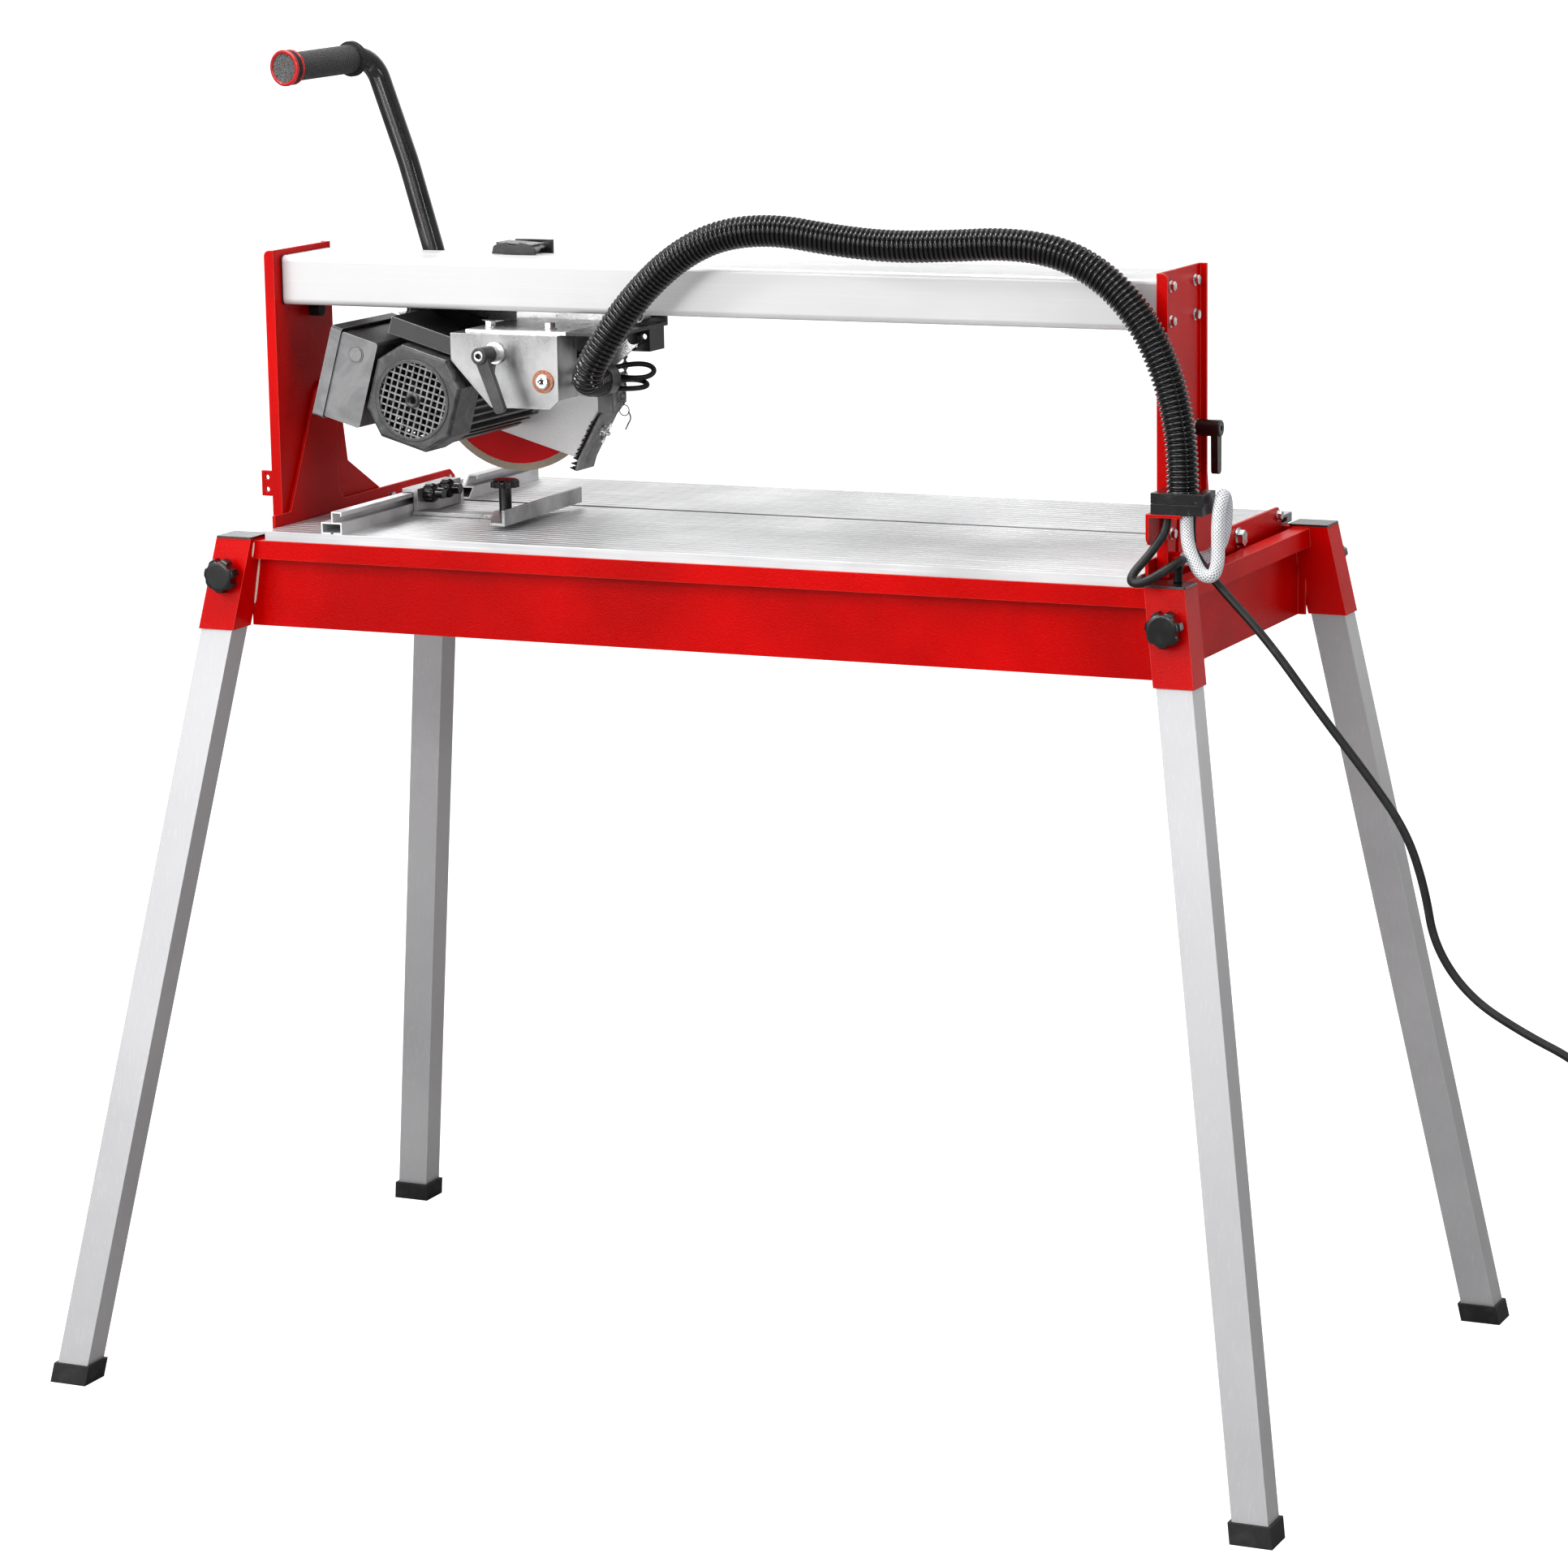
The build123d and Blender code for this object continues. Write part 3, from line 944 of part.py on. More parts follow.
def saw_head():
    """The plunging head: arm, motor, switch box, guards, and the spindle that turns in it."""
    save("motor_arm", head(make_arm()))
    save("plunge_lever", make_plunge_lever())
    save("fan_cover", head(make_fan_cover()))
    save("motor_housing", head(make_motor_housing()))
    save("motor_bearings", whole(*[head(ring) for ring in make_bearings()]))
    save("switch_box", head(make_junction_box()))
    save("switch_lid", head(make_switch_lid()))
    for name, z in zip(("start_button", "stop_button"), BUTTON_Z):
        save(name, head(make_button(z)))
    save("blade_guard", head(make_guard()))
    save("splash_guard", head(make_splash_guard()))
    save("rotor", head(make_rotor()))
    save("blade", head(make_blade()))
    save("blade_clamp", head(make_blade_clamp()))


def cords():
    """Mains cord with its coil and plug, pump cable and water hose."""
    tail = cord("mains tail", TAIL_ROUTE, CORD_R)
    save("mains_cord", whole(cord("mains cord", MAINS_ROUTE, CORD_R), tail))
    save("mains_cord_coil", make_coil())
    save("mains_plug", make_plug())
    save("pump_cable", cord("pump cable", PUMP_ROUTE, CABLE_R))
    save("water_hose", cord("water hose", HOSE_ROUTE, HOSE_R))


main()
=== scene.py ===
import json
import math
import random

import bmesh
import bpy
from mathutils import Matrix, Vector

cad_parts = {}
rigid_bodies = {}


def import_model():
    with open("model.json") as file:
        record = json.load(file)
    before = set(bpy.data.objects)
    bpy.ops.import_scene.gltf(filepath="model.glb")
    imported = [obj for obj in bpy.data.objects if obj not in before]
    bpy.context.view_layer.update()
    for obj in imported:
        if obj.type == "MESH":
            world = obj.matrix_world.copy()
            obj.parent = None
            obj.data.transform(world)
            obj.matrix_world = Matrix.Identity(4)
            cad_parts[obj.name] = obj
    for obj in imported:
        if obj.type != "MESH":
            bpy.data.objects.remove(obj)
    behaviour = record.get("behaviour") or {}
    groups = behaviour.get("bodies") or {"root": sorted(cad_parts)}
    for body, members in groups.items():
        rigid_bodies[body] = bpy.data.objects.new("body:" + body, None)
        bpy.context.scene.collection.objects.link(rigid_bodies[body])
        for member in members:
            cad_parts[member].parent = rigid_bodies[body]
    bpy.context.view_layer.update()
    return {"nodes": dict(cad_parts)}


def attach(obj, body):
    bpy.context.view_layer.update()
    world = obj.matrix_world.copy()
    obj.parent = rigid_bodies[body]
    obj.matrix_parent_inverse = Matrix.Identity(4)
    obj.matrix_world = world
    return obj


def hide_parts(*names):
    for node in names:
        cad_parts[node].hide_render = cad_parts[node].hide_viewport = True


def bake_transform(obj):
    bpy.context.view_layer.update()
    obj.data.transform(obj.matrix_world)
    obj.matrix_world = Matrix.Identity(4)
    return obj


for leftover in list(bpy.data.objects):
    bpy.data.objects.remove(leftover)
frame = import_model()
nodes = frame["nodes"]
mm = 0.001
bladeAxis = (-317, 1010)  # x and z of the axes that run across the machine, in millimetres
pivotAxis = (-172.4, 1032.8)
headLean = math.radians(16)
print("frame loaded:", len(nodes), "solids")


class Wire:
    # one output of a shader node; the usual operators add the node that works them out
    def __init__(self, finish, socket):
        self.finish = finish
        self.socket = socket

    def join(self, operation, first, second):
        kinds = {part.socket.type for part in (first, second) if isinstance(part, Wire)}
        if "RGBA" in kinds:
            return self.finish.blend(first, second, 1.0, operation)
        if "VECTOR" in kinds:
            return self.finish.add("VectorMath", {"operation": operation}, {0: first, 1: second})
        return self.finish.add("Math", {"operation": operation}, {0: first, 1: second})

    def __add__(self, other):
        return self.join("ADD", self, other)

    def __radd__(self, other):
        return self.join("ADD", other, self)

    def __sub__(self, other):
        return self.join("SUBTRACT", self, other)

    def __rsub__(self, other):
        return self.join("SUBTRACT", other, self)

    def __mul__(self, other):
        return self.join("MULTIPLY", self, other)

    def __rmul__(self, other):
        return self.join("MULTIPLY", other, self)


class Finish:
    # a surface that is put together node by node; owner is a material or a world
    def __init__(self, owner):
        self.owner = owner
        owner.use_nodes = True
        self.tree = owner.node_tree
        self.tree.nodes.clear()
        self.known = {}

    def add(self, kind, settings=None, sockets=None, output=0):
        node = self.tree.nodes.new("ShaderNode" + kind)
        for name, value in (settings or {}).items():
            setattr(node, name, value)
        for name, value in (sockets or {}).items():
            socket = node.inputs[name]
            if isinstance(value, Wire):
                self.tree.links.new(value.socket, socket)
            elif socket.type == "RGBA":
                socket.default_value = self.opaque(value)
            elif socket.type == "VECTOR" and isinstance(value, (int, float)):
                socket.default_value = (value, value, value)
            else:
                socket.default_value = value
        return Wire(self, node.outputs[output]) if node.outputs else None

    def opaque(self, colour):
        # one number stands for a grey
        return (colour, colour, colour, 1) if isinstance(colour, (int, float)) else (*colour, 1)

    def once(self, kind, output):
        if (kind, output) not in self.known:
            self.known[kind, output] = self.add(kind, output=output)
        return self.known[kind, output]

    def place(self):
        return self.once("TexCoord", "Object")

    def axis(self, letter, vector=None):
        return self.add("SeparateXYZ", sockets={0: vector or self.place()}, output=letter.upper())

    def grain(self, scale, detail=3.0, coarse=0.5, stretch=(1, 1, 1), twist=0.0):
        vector = self.place() * self.fixedVector(stretch) if stretch != (1, 1, 1) else self.place()
        return self.add("TexNoise", None, {"Vector": vector, "Scale": scale, "Detail": detail,
                                           "Roughness": coarse, "Distortion": twist})

    def cells(self, scale):
        return self.add("TexVoronoi", None, {"Vector": self.place(), "Scale": scale})

    def fixedVector(self, numbers):
        return self.add("CombineXYZ", None, dict(enumerate(numbers)))

    def fade(self, value, low, high):
        return self.add("MapRange", {"interpolation_type": "SMOOTHSTEP"},
                        {"Value": value, "From Min": low, "From Max": high, "To Min": 0.0, "To Max": 1.0})

    def maths(self, operation, *values):
        return self.add("Math", {"operation": operation}, dict(enumerate(values)))

    def blend(self, first, second, share, style="MIX"):
        return self.add("Mix", {"data_type": "RGBA", "blend_type": style, "clamp_factor": True},
                        {0: share, 6: first, 7: second}, output=2)

    def distance(self, axis):
        # from an axis that runs across the machine at this x and z, in millimetres
        offset = self.place() - self.fixedVector((axis[0] * mm, 0, axis[1] * mm))
        offset = offset * self.fixedVector((1, 0, 1))
        return self.add("VectorMath", {"operation": "LENGTH"}, {0: offset}, output="Value")

    def rounded(self, radius):
        return self.add("Bevel", {"samples": 4}, {"Radius": radius})

    def edges(self, radius):
        # near 1 along sharp outer and inner edges, 0 on flats; the finishes lighten edges with it as a
        # painted highlight
        turned = self.add("VectorMath", {"operation": "DOT_PRODUCT"},
                          {0: self.rounded(radius), 1: self.once("NewGeometry", "Normal")}, output="Value")
        return self.fade(1 - turned, 0.01, 0.16)

    def bump(self, height, depth, normal=None):
        sockets = {"Height": height, "Distance": depth}
        if normal:
            sockets["Normal"] = normal
        return self.add("Bump", None, sockets)

    def close(self, sockets):
        shader = self.add("BsdfPrincipled", None, sockets)
        self.add("OutputMaterial", None, {"Surface": shader})
        return self.owner

    def surface(self, colour, shine, normal, metallic=0.0, coat=0.0, coatShine=0.03, specular=0.5):
        # shine and coatShine are roughnesses: 0 is a mirror
        return self.close({
            "Base Color": colour, "Roughness": shine, "Normal": normal, "Metallic": metallic,
            "Coat Weight": coat, "Coat Roughness": coatShine, "Specular IOR Level": specular})


def newFinish(name):
    return Finish(bpy.data.materials.new(name))


def metres(*places):
    # places in millimetres as vectors in metres
    return [Vector(place) * mm for place in places]


def paintedFinish(name, values):
    # sprayed or powder-coated metal: mottled colour, orange peel with painted glints, paler edges as a
    # painted highlight
    finish = newFinish(name)
    broad = finish.grain(values["broadScale"], 3)
    peel = finish.grain(values["peelScale"], 2, 0.45)
    specks = finish.cells(values["peelScale"] * 2.4)
    colour = finish.blend(values["deep"], values["bright"], finish.fade(broad, 0.3, 0.7))
    # bright specks: painted glints on the orange peel
    colour = finish.blend(colour, values["glintSpeck"], finish.fade(specks, 0.2, 0.05) * values["specks"])
    # paler edges: a painted highlight along edges
    rim = finish.edges(values["edgeRadius"])
    colour = finish.blend(colour, values["edge"], rim * values["edgeHighlightShare"])
    shine = values["roughness"] + 0.12 * finish.grain(values["broadScale"] * 3, 4)
    height = peel + 0.35 * finish.grain(values["peelScale"] * 2.6, 1)
    normal = finish.bump(height, values["peelDepth"], finish.rounded(values["edgeRadius"]))
    return finish.surface(colour, shine, normal, coat=values["coat"], coatShine=0.08,
                          specular=values.get("specular", 0.5))


def metalFinish(name, values):
    # plated, drawn or brushed metal: cloudy tone, fine lines one way, brighter edges as a painted highlight
    finish = newFinish(name)
    clouds = finish.grain(values["cloudScale"], 4, 0.55)
    lines = finish.grain(values["lineScale"], 4, 0.6, values["lineStretch"])
    tone = finish.blend(values["dark"], values["light"], finish.fade(clouds, 0.3, 0.68))
    tone = finish.blend(tone, values["line"], finish.fade(lines, 0.5, 0.78) * values["lines"])
    # brighter edges: a painted highlight along edges
    rim = finish.edges(values["edgeRadius"])
    tone = finish.blend(tone, values["edge"], rim * 0.75)
    low, high = values["roughness"]
    shine = low + (high - low) * finish.fade(clouds, 0.25, 0.75) + 0.08 * lines
    spangle = finish.grain(values["spangleScale"], 2, 0.4)
    normal = finish.bump(lines, values["lineDepth"], finish.rounded(values["edgeRadius"]))
    normal = finish.bump(spangle, values["spangleDepth"], normal)
    return finish.surface(tone, shine, normal, metallic=values["metallic"])


def mouldedFinish(name, values):
    # injection-moulded or rubber parts: fine spark texture, flow marks, handling marks, and for finishes
    # with a front colour a painted sheen on the faces toward the front
    finish = newFinish(name)
    flow = finish.grain(values["flowScale"], 5, 0.6, twist=values.get("twist", 0.6))
    texture = finish.grain(values["textureScale"], 2, 0.5)
    colour = finish.blend(values["deep"], values["pale"], finish.fade(flow, 0.42, 0.78))
    dust = finish.fade(finish.grain(values["flowScale"] * 4, 6, 0.65), 0.62, 0.78)
    colour = finish.blend(colour, values["dust"], dust * values["dustShare"])
    if "front" in values:  # paler on the faces toward the front: a painted sheen
        facing = finish.fade(finish.axis("y", finish.once("NewGeometry", "Normal")), -0.8, -0.95)
        paintedSheen = 0.65 + 0.35 * finish.fade(flow, 0.3, 0.7)
        colour = finish.blend(colour, values["front"], facing * paintedSheen)
    # paler edges: a painted highlight along edges
    rim = finish.edges(values["edgeRadius"])
    colour = finish.blend(colour, values["edge"], rim * values["edgeHighlightShare"])
    shine = values["roughness"] + 0.14 * flow
    normal = finish.bump(texture, values["textureDepth"], finish.rounded(values["edgeRadius"]))
    return finish.surface(colour, shine, normal, coat=values.get("coat", 0.0), coatShine=0.15)


# edge colours in these finish dictionaries are painted highlights along edges
redPaint = {
    # speck colours in these paints are painted glints
    "deep": (0.44, 0.0004, 0.0004), "bright": (0.62, 0.001, 0.0008), "glintSpeck": (0.85, 0.06, 0.04),
    "specks": 0.4, "edge": (0.92, 0.16, 0.11), "edgeHighlightShare": 0.8, "edgeRadius": 1.2 * mm,
    "broadScale": 6, "peelScale": 620, "peelDepth": 0.0003, "roughness": 0.18, "coat": 0.03,
    "specular": 0.13,
}
blackPaint = {
    "deep": (0.012, 0.012, 0.013), "bright": (0.03, 0.03, 0.032), "glintSpeck": 0.10,
    "specks": 0.25, "edge": (0.16, 0.16, 0.165), "edgeHighlightShare": 0.5, "edgeRadius": 0.8 * mm,
    "broadScale": 14, "peelScale": 900, "peelDepth": 0.00012, "roughness": 0.12, "coat": 0.6,
    "specular": 0.4,
}
motorPaint = {
    "deep": (0.10, 0.10, 0.104), "bright": (0.18, 0.18, 0.185), "glintSpeck": 0.3,
    "specks": 0.3, "edge": (0.34, 0.34, 0.35), "edgeHighlightShare": 0.7, "edgeRadius": 0.8 * mm,
    "broadScale": 20, "peelScale": 650, "peelDepth": 0.0002, "roughness": 0.28, "coat": 0.25,
}
guardPaint = {
    "deep": 0.84, "bright": (0.93, 0.93, 0.925), "glintSpeck": (0.97, 0.96, 0.93),
    "specks": 0.5, "edge": 0.93, "edgeHighlightShare": 0.7, "edgeRadius": 1.0 * mm,
    "broadScale": 16, "peelScale": 520, "peelDepth": 0.00032, "roughness": 0.26, "coat": 0.4,
}
darkFan = dict(blackPaint, coat=0.0, roughness=0.5, edgeHighlightShare=0.2)
armPaint = dict(blackPaint, deep=0.006, bright=0.018, glintSpeck=0.5,
                specks=0.35, edge=0.75, edgeHighlightShare=0.8, edgeRadius=1.2 * mm, roughness=0.14,
                specular=0.35)
# the weld beads are coloured pale cream: a painted highlight on the welds
weldPaintedHighlight = dict(redPaint, deep=(0.72, 0.42, 0.33), bright=(0.90, 0.80, 0.72), edgeHighlightShare=0.2, coat=0.2)
legTube = {
    "dark": (0.43, 0.43, 0.44), "light": (0.50, 0.50, 0.51), "line": (0.60, 0.60, 0.61), "lines": 0.35,
    "edge": 0.90, "edgeRadius": 1.2 * mm, "cloudScale": 3, "lineScale": 420,
    "lineStretch": (1, 1, 0.02), "lineDepth": 0.00004, "spangleScale": 900, "spangleDepth": 0.00002,
    "roughness": (0.28, 0.34), "metallic": 0.45,
}
tableSheet = {
    # rib is the colour of painted shade on the groove floors
    "rib": (0.16, 0.16, 0.165), "grooveShadeShare": 0.75, "dark": (0.58, 0.58, 0.59), "light": (0.83, 0.83, 0.84),
    "streak": (0.94, 0.94, 0.95), "scratch": (0.40, 0.40, 0.41), "roughness": (0.26, 0.42),
    "metallic": 0.75,
    "grooveFloor": (875.45 * mm, 875.15 * mm), "frontEdge": (-218.8 * mm, -218.4 * mm),
}
railSheet = {
    "dark": (0.58, 0.58, 0.585), "light": (0.65, 0.65, 0.655), "line": 0.72, "lines": 0.35,
    "edge": 0.97, "edgeRadius": 0.8 * mm, "cloudScale": 3, "lineScale": 420,
    "lineStretch": (0.012, 1, 1), "lineDepth": 0.00003, "spangleScale": 700, "spangleDepth": 0.00001,
    "roughness": (0.28, 0.38), "metallic": 0.18,
}
fenceSheet = dict(railSheet, dark=(0.56, 0.56, 0.57), light=(0.80, 0.80, 0.81), lineStretch=(1, 0.012, 1),
                  edge=0.96, cloudScale=14, metallic=0.6)
zincPlate = {
    "dark": (0.27, 0.27, 0.275), "light": 0.52, "line": 0.70, "lines": 0.3,
    "edge": 0.97, "edgeRadius": 0.9 * mm, "cloudScale": 17, "lineScale": 160,
    "lineStretch": (1, 1, 0.15), "lineDepth": 0.00004, "spangleScale": 420, "spangleDepth": 0.00009,
    "roughness": (0.2, 0.38), "metallic": 0.7,
}
splashSteel = dict(zincPlate, dark=0.10, light=(0.26, 0.26, 0.265), cloudScale=40, metallic=0.5)
chainSteel = dict(zincPlate, dark=0.05, light=0.30, cloudScale=300,
                  edgeRadius=0.3 * mm, edge=0.6)
rollerSteel = dict(zincPlate, dark=(0.30, 0.30, 0.31), light=(0.58, 0.58, 0.59), lineStretch=(0.1, 1, 0.1),
                   cloudScale=60)
blackNylon = {
    "deep": (0.010, 0.010, 0.011), "pale": (0.032, 0.032, 0.034), "dust": 0.16,
    "dustShare": 0.10, "edge": (0.17, 0.17, 0.175), "edgeHighlightShare": 0.5, "edgeRadius": 0.7 * mm,
    "flowScale": 45, "textureScale": 1600, "textureDepth": 0.00009, "roughness": 0.18, "coat": 0.4,
}
clampNylon = dict(blackNylon, dustShare=0.55, dust=(0.22, 0.22, 0.215), flowScale=60)
blackRubber = {
    "deep": 0.012, "pale": (0.030, 0.030, 0.031), "dust": (0.13, 0.13, 0.125),
    "dustShare": 0.3, "edge": 0.09, "edgeHighlightShare": 0.4, "edgeRadius": 0.9 * mm,
    "flowScale": 60, "textureScale": 900, "textureDepth": 0.0002, "roughness": 0.55,
}
cordRubber = dict(blackRubber, roughness=0.34, textureScale=1300, textureDepth=0.00006, dustShare=0.12,
                  edgeHighlightShare=0.0)
coverPlastic = {
    "deep": (0.035, 0.035, 0.037), "pale": (0.095, 0.095, 0.098), "dust": 0.30,
    "dustShare": 0.35, "edge": (0.30, 0.30, 0.305), "edgeHighlightShare": 0.5, "edgeRadius": 1.0 * mm,
    "flowScale": 34, "textureScale": 800, "textureDepth": 0.00014, "roughness": 0.24, "twist": 2.4,
    "coat": 0.2,
}
# front is the colour of a painted sheen on the box's faces toward the front
switchMoulding = dict(coverPlastic, deep=(0.035, 0.035, 0.037), pale=(0.10, 0.10, 0.104),
                      front=(0.25, 0.25, 0.255), edge=0.7, edgeHighlightShare=0.75,
                      dustShare=0.15, flowScale=18)
startGreen = dict(blackNylon, deep=(0.02, 0.22, 0.05), pale=(0.04, 0.36, 0.10), edge=(0.2, 0.6, 0.3))
stopRed = dict(blackNylon, deep=(0.50, 0.02, 0.03), pale=(0.70, 0.10, 0.11), edge=(0.9, 0.4, 0.4))
collarRed = dict(blackNylon, deep=(0.42, 0.006, 0.008), pale=(0.62, 0.02, 0.02), edge=(0.9, 0.35, 0.33),
                 edgeHighlightShare=0.7)


def tableFinish():
    finish = newFinish("ribbedAluminium")
    clouds = finish.grain(5, 3)
    streaks = finish.grain(300, 5, 0.65, (0.02, 1, 1))
    scratches = finish.grain(900, 3, 0.5, (0.008, 1, 0.3))
    cloudy = finish.fade(clouds + 0.5 * streaks, 0.5, 1.0)
    tone = finish.blend(tableSheet["dark"], tableSheet["light"], cloudy)
    tone = finish.blend(tone, tableSheet["streak"], finish.fade(streaks, 0.55, 0.8) * 0.6)
    tone = finish.blend(tone, tableSheet["scratch"], finish.fade(scratches, 0.70, 0.80) * 0.5)
    # groove floors behind the front edge darkened: painted shade in the grooves
    low = finish.fade(finish.axis("z"), *tableSheet["grooveFloor"])
    inward = finish.fade(finish.axis("y"), *tableSheet["frontEdge"])
    tone = finish.blend(tone, tableSheet["rib"], low * inward * tableSheet["grooveShadeShare"])
    first, last = tableSheet["roughness"]
    shine = first + (last - first) * clouds + 0.1 * scratches
    normal = finish.bump(streaks + 0.4 * scratches, 0.00006, finish.rounded(0.6 * mm))
    return finish.surface(tone, shine, normal, metallic=tableSheet["metallic"])


bladeFace = {
    "core": (0.82, 0.001, 0.010), "coreDeep": (0.66, 0.0006, 0.006), "rim": (0.62, 0.54, 0.43),
    "rimDark": (0.36, 0.31, 0.25), "steel": (0.55, 0.55, 0.56), "rimStart": 92.6 * mm, "hub": 30 * mm,
}


def bladeFinish():
    finish = newFinish("lacquerAndDiamondRim")
    reach = finish.distance(bladeAxis)
    wobble = 0.0012 * finish.grain(180, 2)
    rim = finish.fade(reach + wobble, bladeFace["rimStart"], bladeFace["rimStart"] + 0.6 * mm)
    bare = finish.fade(reach, bladeFace["hub"] + 1 * mm, bladeFace["hub"])
    turned = finish.maths("SINE", 9000 * reach)  # fine turning marks
    clouds = finish.fade(finish.grain(16, 3), 0.3, 0.7)
    core = finish.blend(bladeFace["coreDeep"], bladeFace["core"], clouds)
    core = finish.blend(core, bladeFace["steel"], bare)
    grit = finish.grain(1500, 3, 0.7)
    sinter = finish.blend(bladeFace["rimDark"], bladeFace["rim"], finish.fade(grit, 0.3, 0.62))
    colour = finish.blend(core, sinter, rim)
    shine = 0.3 + 0.5 * rim + 0.1 * finish.grain(40, 3)
    height = turned * 0.08 * (1 - rim) + grit * rim
    normal = finish.bump(height, 0.00025)
    return finish.surface(colour, shine, normal, metallic=0.7 * bare, specular=0.2)


boltPlate = {
    "light": 0.88, "dark": (0.36, 0.36, 0.37), "copper": (0.52, 0.24, 0.15),
    "copperDark": (0.33, 0.13, 0.08), "washerIn": 7.7 * mm, "washerOut": 11.8 * mm,
    "washerFront": -173.6 * mm, "washerBack": -171.9 * mm, "edge": 0.2 * mm,
    "slot": 0.9 * mm, "slotReach": 3.2 * mm, "slotFloor": (-173.8 * mm, -174 * mm),
}


def boltFinish():
    finish = newFinish("brightZincBolts")
    clouds = finish.grain(140, 4, 0.6)
    tone = finish.blend(boltPlate["dark"], boltPlate["light"], finish.fade(clouds, 0.32, 0.6))
    # paler edges: a painted highlight along edges
    tone = finish.blend(tone, 0.97, finish.edges(0.5 * mm) * 0.7)
    fromPivot = finish.distance(pivotAxis)
    depth, edge = finish.axis("y"), boltPlate["edge"]
    ring = finish.fade(fromPivot, boltPlate["washerIn"] - edge, boltPlate["washerIn"])
    ring = ring * finish.fade(fromPivot, boltPlate["washerOut"], boltPlate["washerOut"] - edge)
    ring = ring * finish.fade(depth, boltPlate["washerBack"], boltPlate["washerBack"] - edge)
    ring = ring * finish.fade(depth, boltPlate["washerFront"] - edge, boltPlate["washerFront"])
    cloudy = finish.fade(finish.grain(500, 3), 0.3, 0.6)
    washer = finish.blend(boltPlate["copperDark"], boltPlate["copper"], cloudy)
    tone = finish.blend(tone, washer, ring)
    # a near-black cross on the pivot screw's head: painted shade for its cross recess
    offX, offZ = finish.axis("x") - pivotAxis[0] * mm, finish.axis("z") - pivotAxis[1] * mm
    slots = [finish.maths("ABSOLUTE", offset) for offset in (offX + offZ, offX - offZ)]
    cross = finish.fade(finish.maths("MINIMUM", *slots), boltPlate["slot"] + 0.3 * mm, boltPlate["slot"])
    cross = cross * finish.fade(fromPivot, boltPlate["slotReach"] + 0.4 * mm, boltPlate["slotReach"])
    cross = cross * finish.fade(depth, *boltPlate["slotFloor"])
    tone = finish.blend(tone, 0.015, cross)
    shine = 0.12 + 0.18 * clouds + 0.25 * ring
    normal = finish.bump(clouds, 0.00006, finish.rounded(0.5 * mm))
    return finish.surface(tone, shine, normal, metallic=1 - 0.6 * ring - 0.4 * cross)


shelfPlate = {"light": 0.92, "dark": (0.62, 0.62, 0.63), "middle": -207 * mm, "half": 57 * mm,
              "top": 1101 * mm}


def carriageFinish():
    # black paint, and bare zinc on the shelf and the plate between shelf and rail
    finish = newFinish("carriagePaintAndZinc")
    clouds = finish.grain(30, 4)
    paint = finish.blend(blackPaint["deep"], blackPaint["bright"], finish.fade(clouds, 0.3, 0.7))
    # paler edges: a painted highlight along edges
    paint = finish.blend(paint, blackPaint["edge"], finish.edges(0.8 * mm) * 0.5)
    zinc = finish.blend(shelfPlate["dark"], shelfPlate["light"], finish.fade(clouds, 0.3, 0.6))
    offCentre = finish.maths("ABSOLUTE", finish.axis("x") - shelfPlate["middle"])
    shelf = finish.fade(finish.axis("z"), shelfPlate["top"] + 0.3 * mm, shelfPlate["top"])
    shelf = shelf * finish.fade(offCentre, shelfPlate["half"] + 1 * mm, shelfPlate["half"])
    colour = finish.blend(paint, zinc, shelf)
    shine = 0.2 + 0.14 * clouds
    normal = finish.bump(finish.grain(900, 2), 0.0001, finish.rounded(0.8 * mm))
    return finish.surface(colour, shine, normal, metallic=0.7 * shelf, coat=0.3 * (1 - shelf), coatShine=0.1)


def partedFinish(name, values):
    # dark paint with a bright steel part between two planes across the machine
    finish = newFinish(name)
    clouds = finish.grain(40, 4, 0.6)
    paint = finish.blend(values["deep"], values["pale"], finish.fade(clouds, 0.3, 0.7))
    # paler edges: a painted highlight along edges
    paint = finish.blend(paint, values["edge"], finish.edges(0.8 * mm) * 0.6)
    steel = finish.blend((0.5, 0.5, 0.51), 0.92, finish.fade(clouds, 0.3, 0.6))
    depth = finish.axis("y")
    first, last = values["steel"]
    bare = finish.fade(depth, first - 0.2 * mm, first) * finish.fade(depth, last + 0.2 * mm, last)
    colour = finish.blend(paint, steel, bare)
    shine = values["roughness"] + 0.12 * clouds - 0.08 * bare
    normal = finish.bump(finish.grain(1200, 2), 0.00008, finish.rounded(0.8 * mm))
    return finish.surface(colour, shine, normal, metallic=0.9 * bare, coat=0.2 * (1 - bare), coatShine=0.1)


endBracketPaint = {"deep": (0.012, 0.012, 0.013), "pale": (0.03, 0.03, 0.032), "edge": 0.2,
                   "steel": (-92.3 * mm, -88.9 * mm), "roughness": 0.24}
leverMoulding = {"deep": (0.035, 0.035, 0.037), "pale": (0.075, 0.075, 0.078), "edge": 0.40,
                 "steel": (-186 * mm, -172 * mm), "roughness": 0.3}
hangerStrip = {"deep": (0.05, 0.05, 0.052), "pale": (0.10, 0.10, 0.104), "edge": 0.3,
               "steel": (-10 * mm, -9 * mm), "roughness": 0.3}

fanFace = {"bar": (0.29, 0.29, 0.295), "inside": 37.8 * mm, "ring": 41.5 * mm, "front": -175.5 * mm,
           "mark": (0.34, 0.34, 0.345), "edge": (0.38, 0.38, 0.385)}


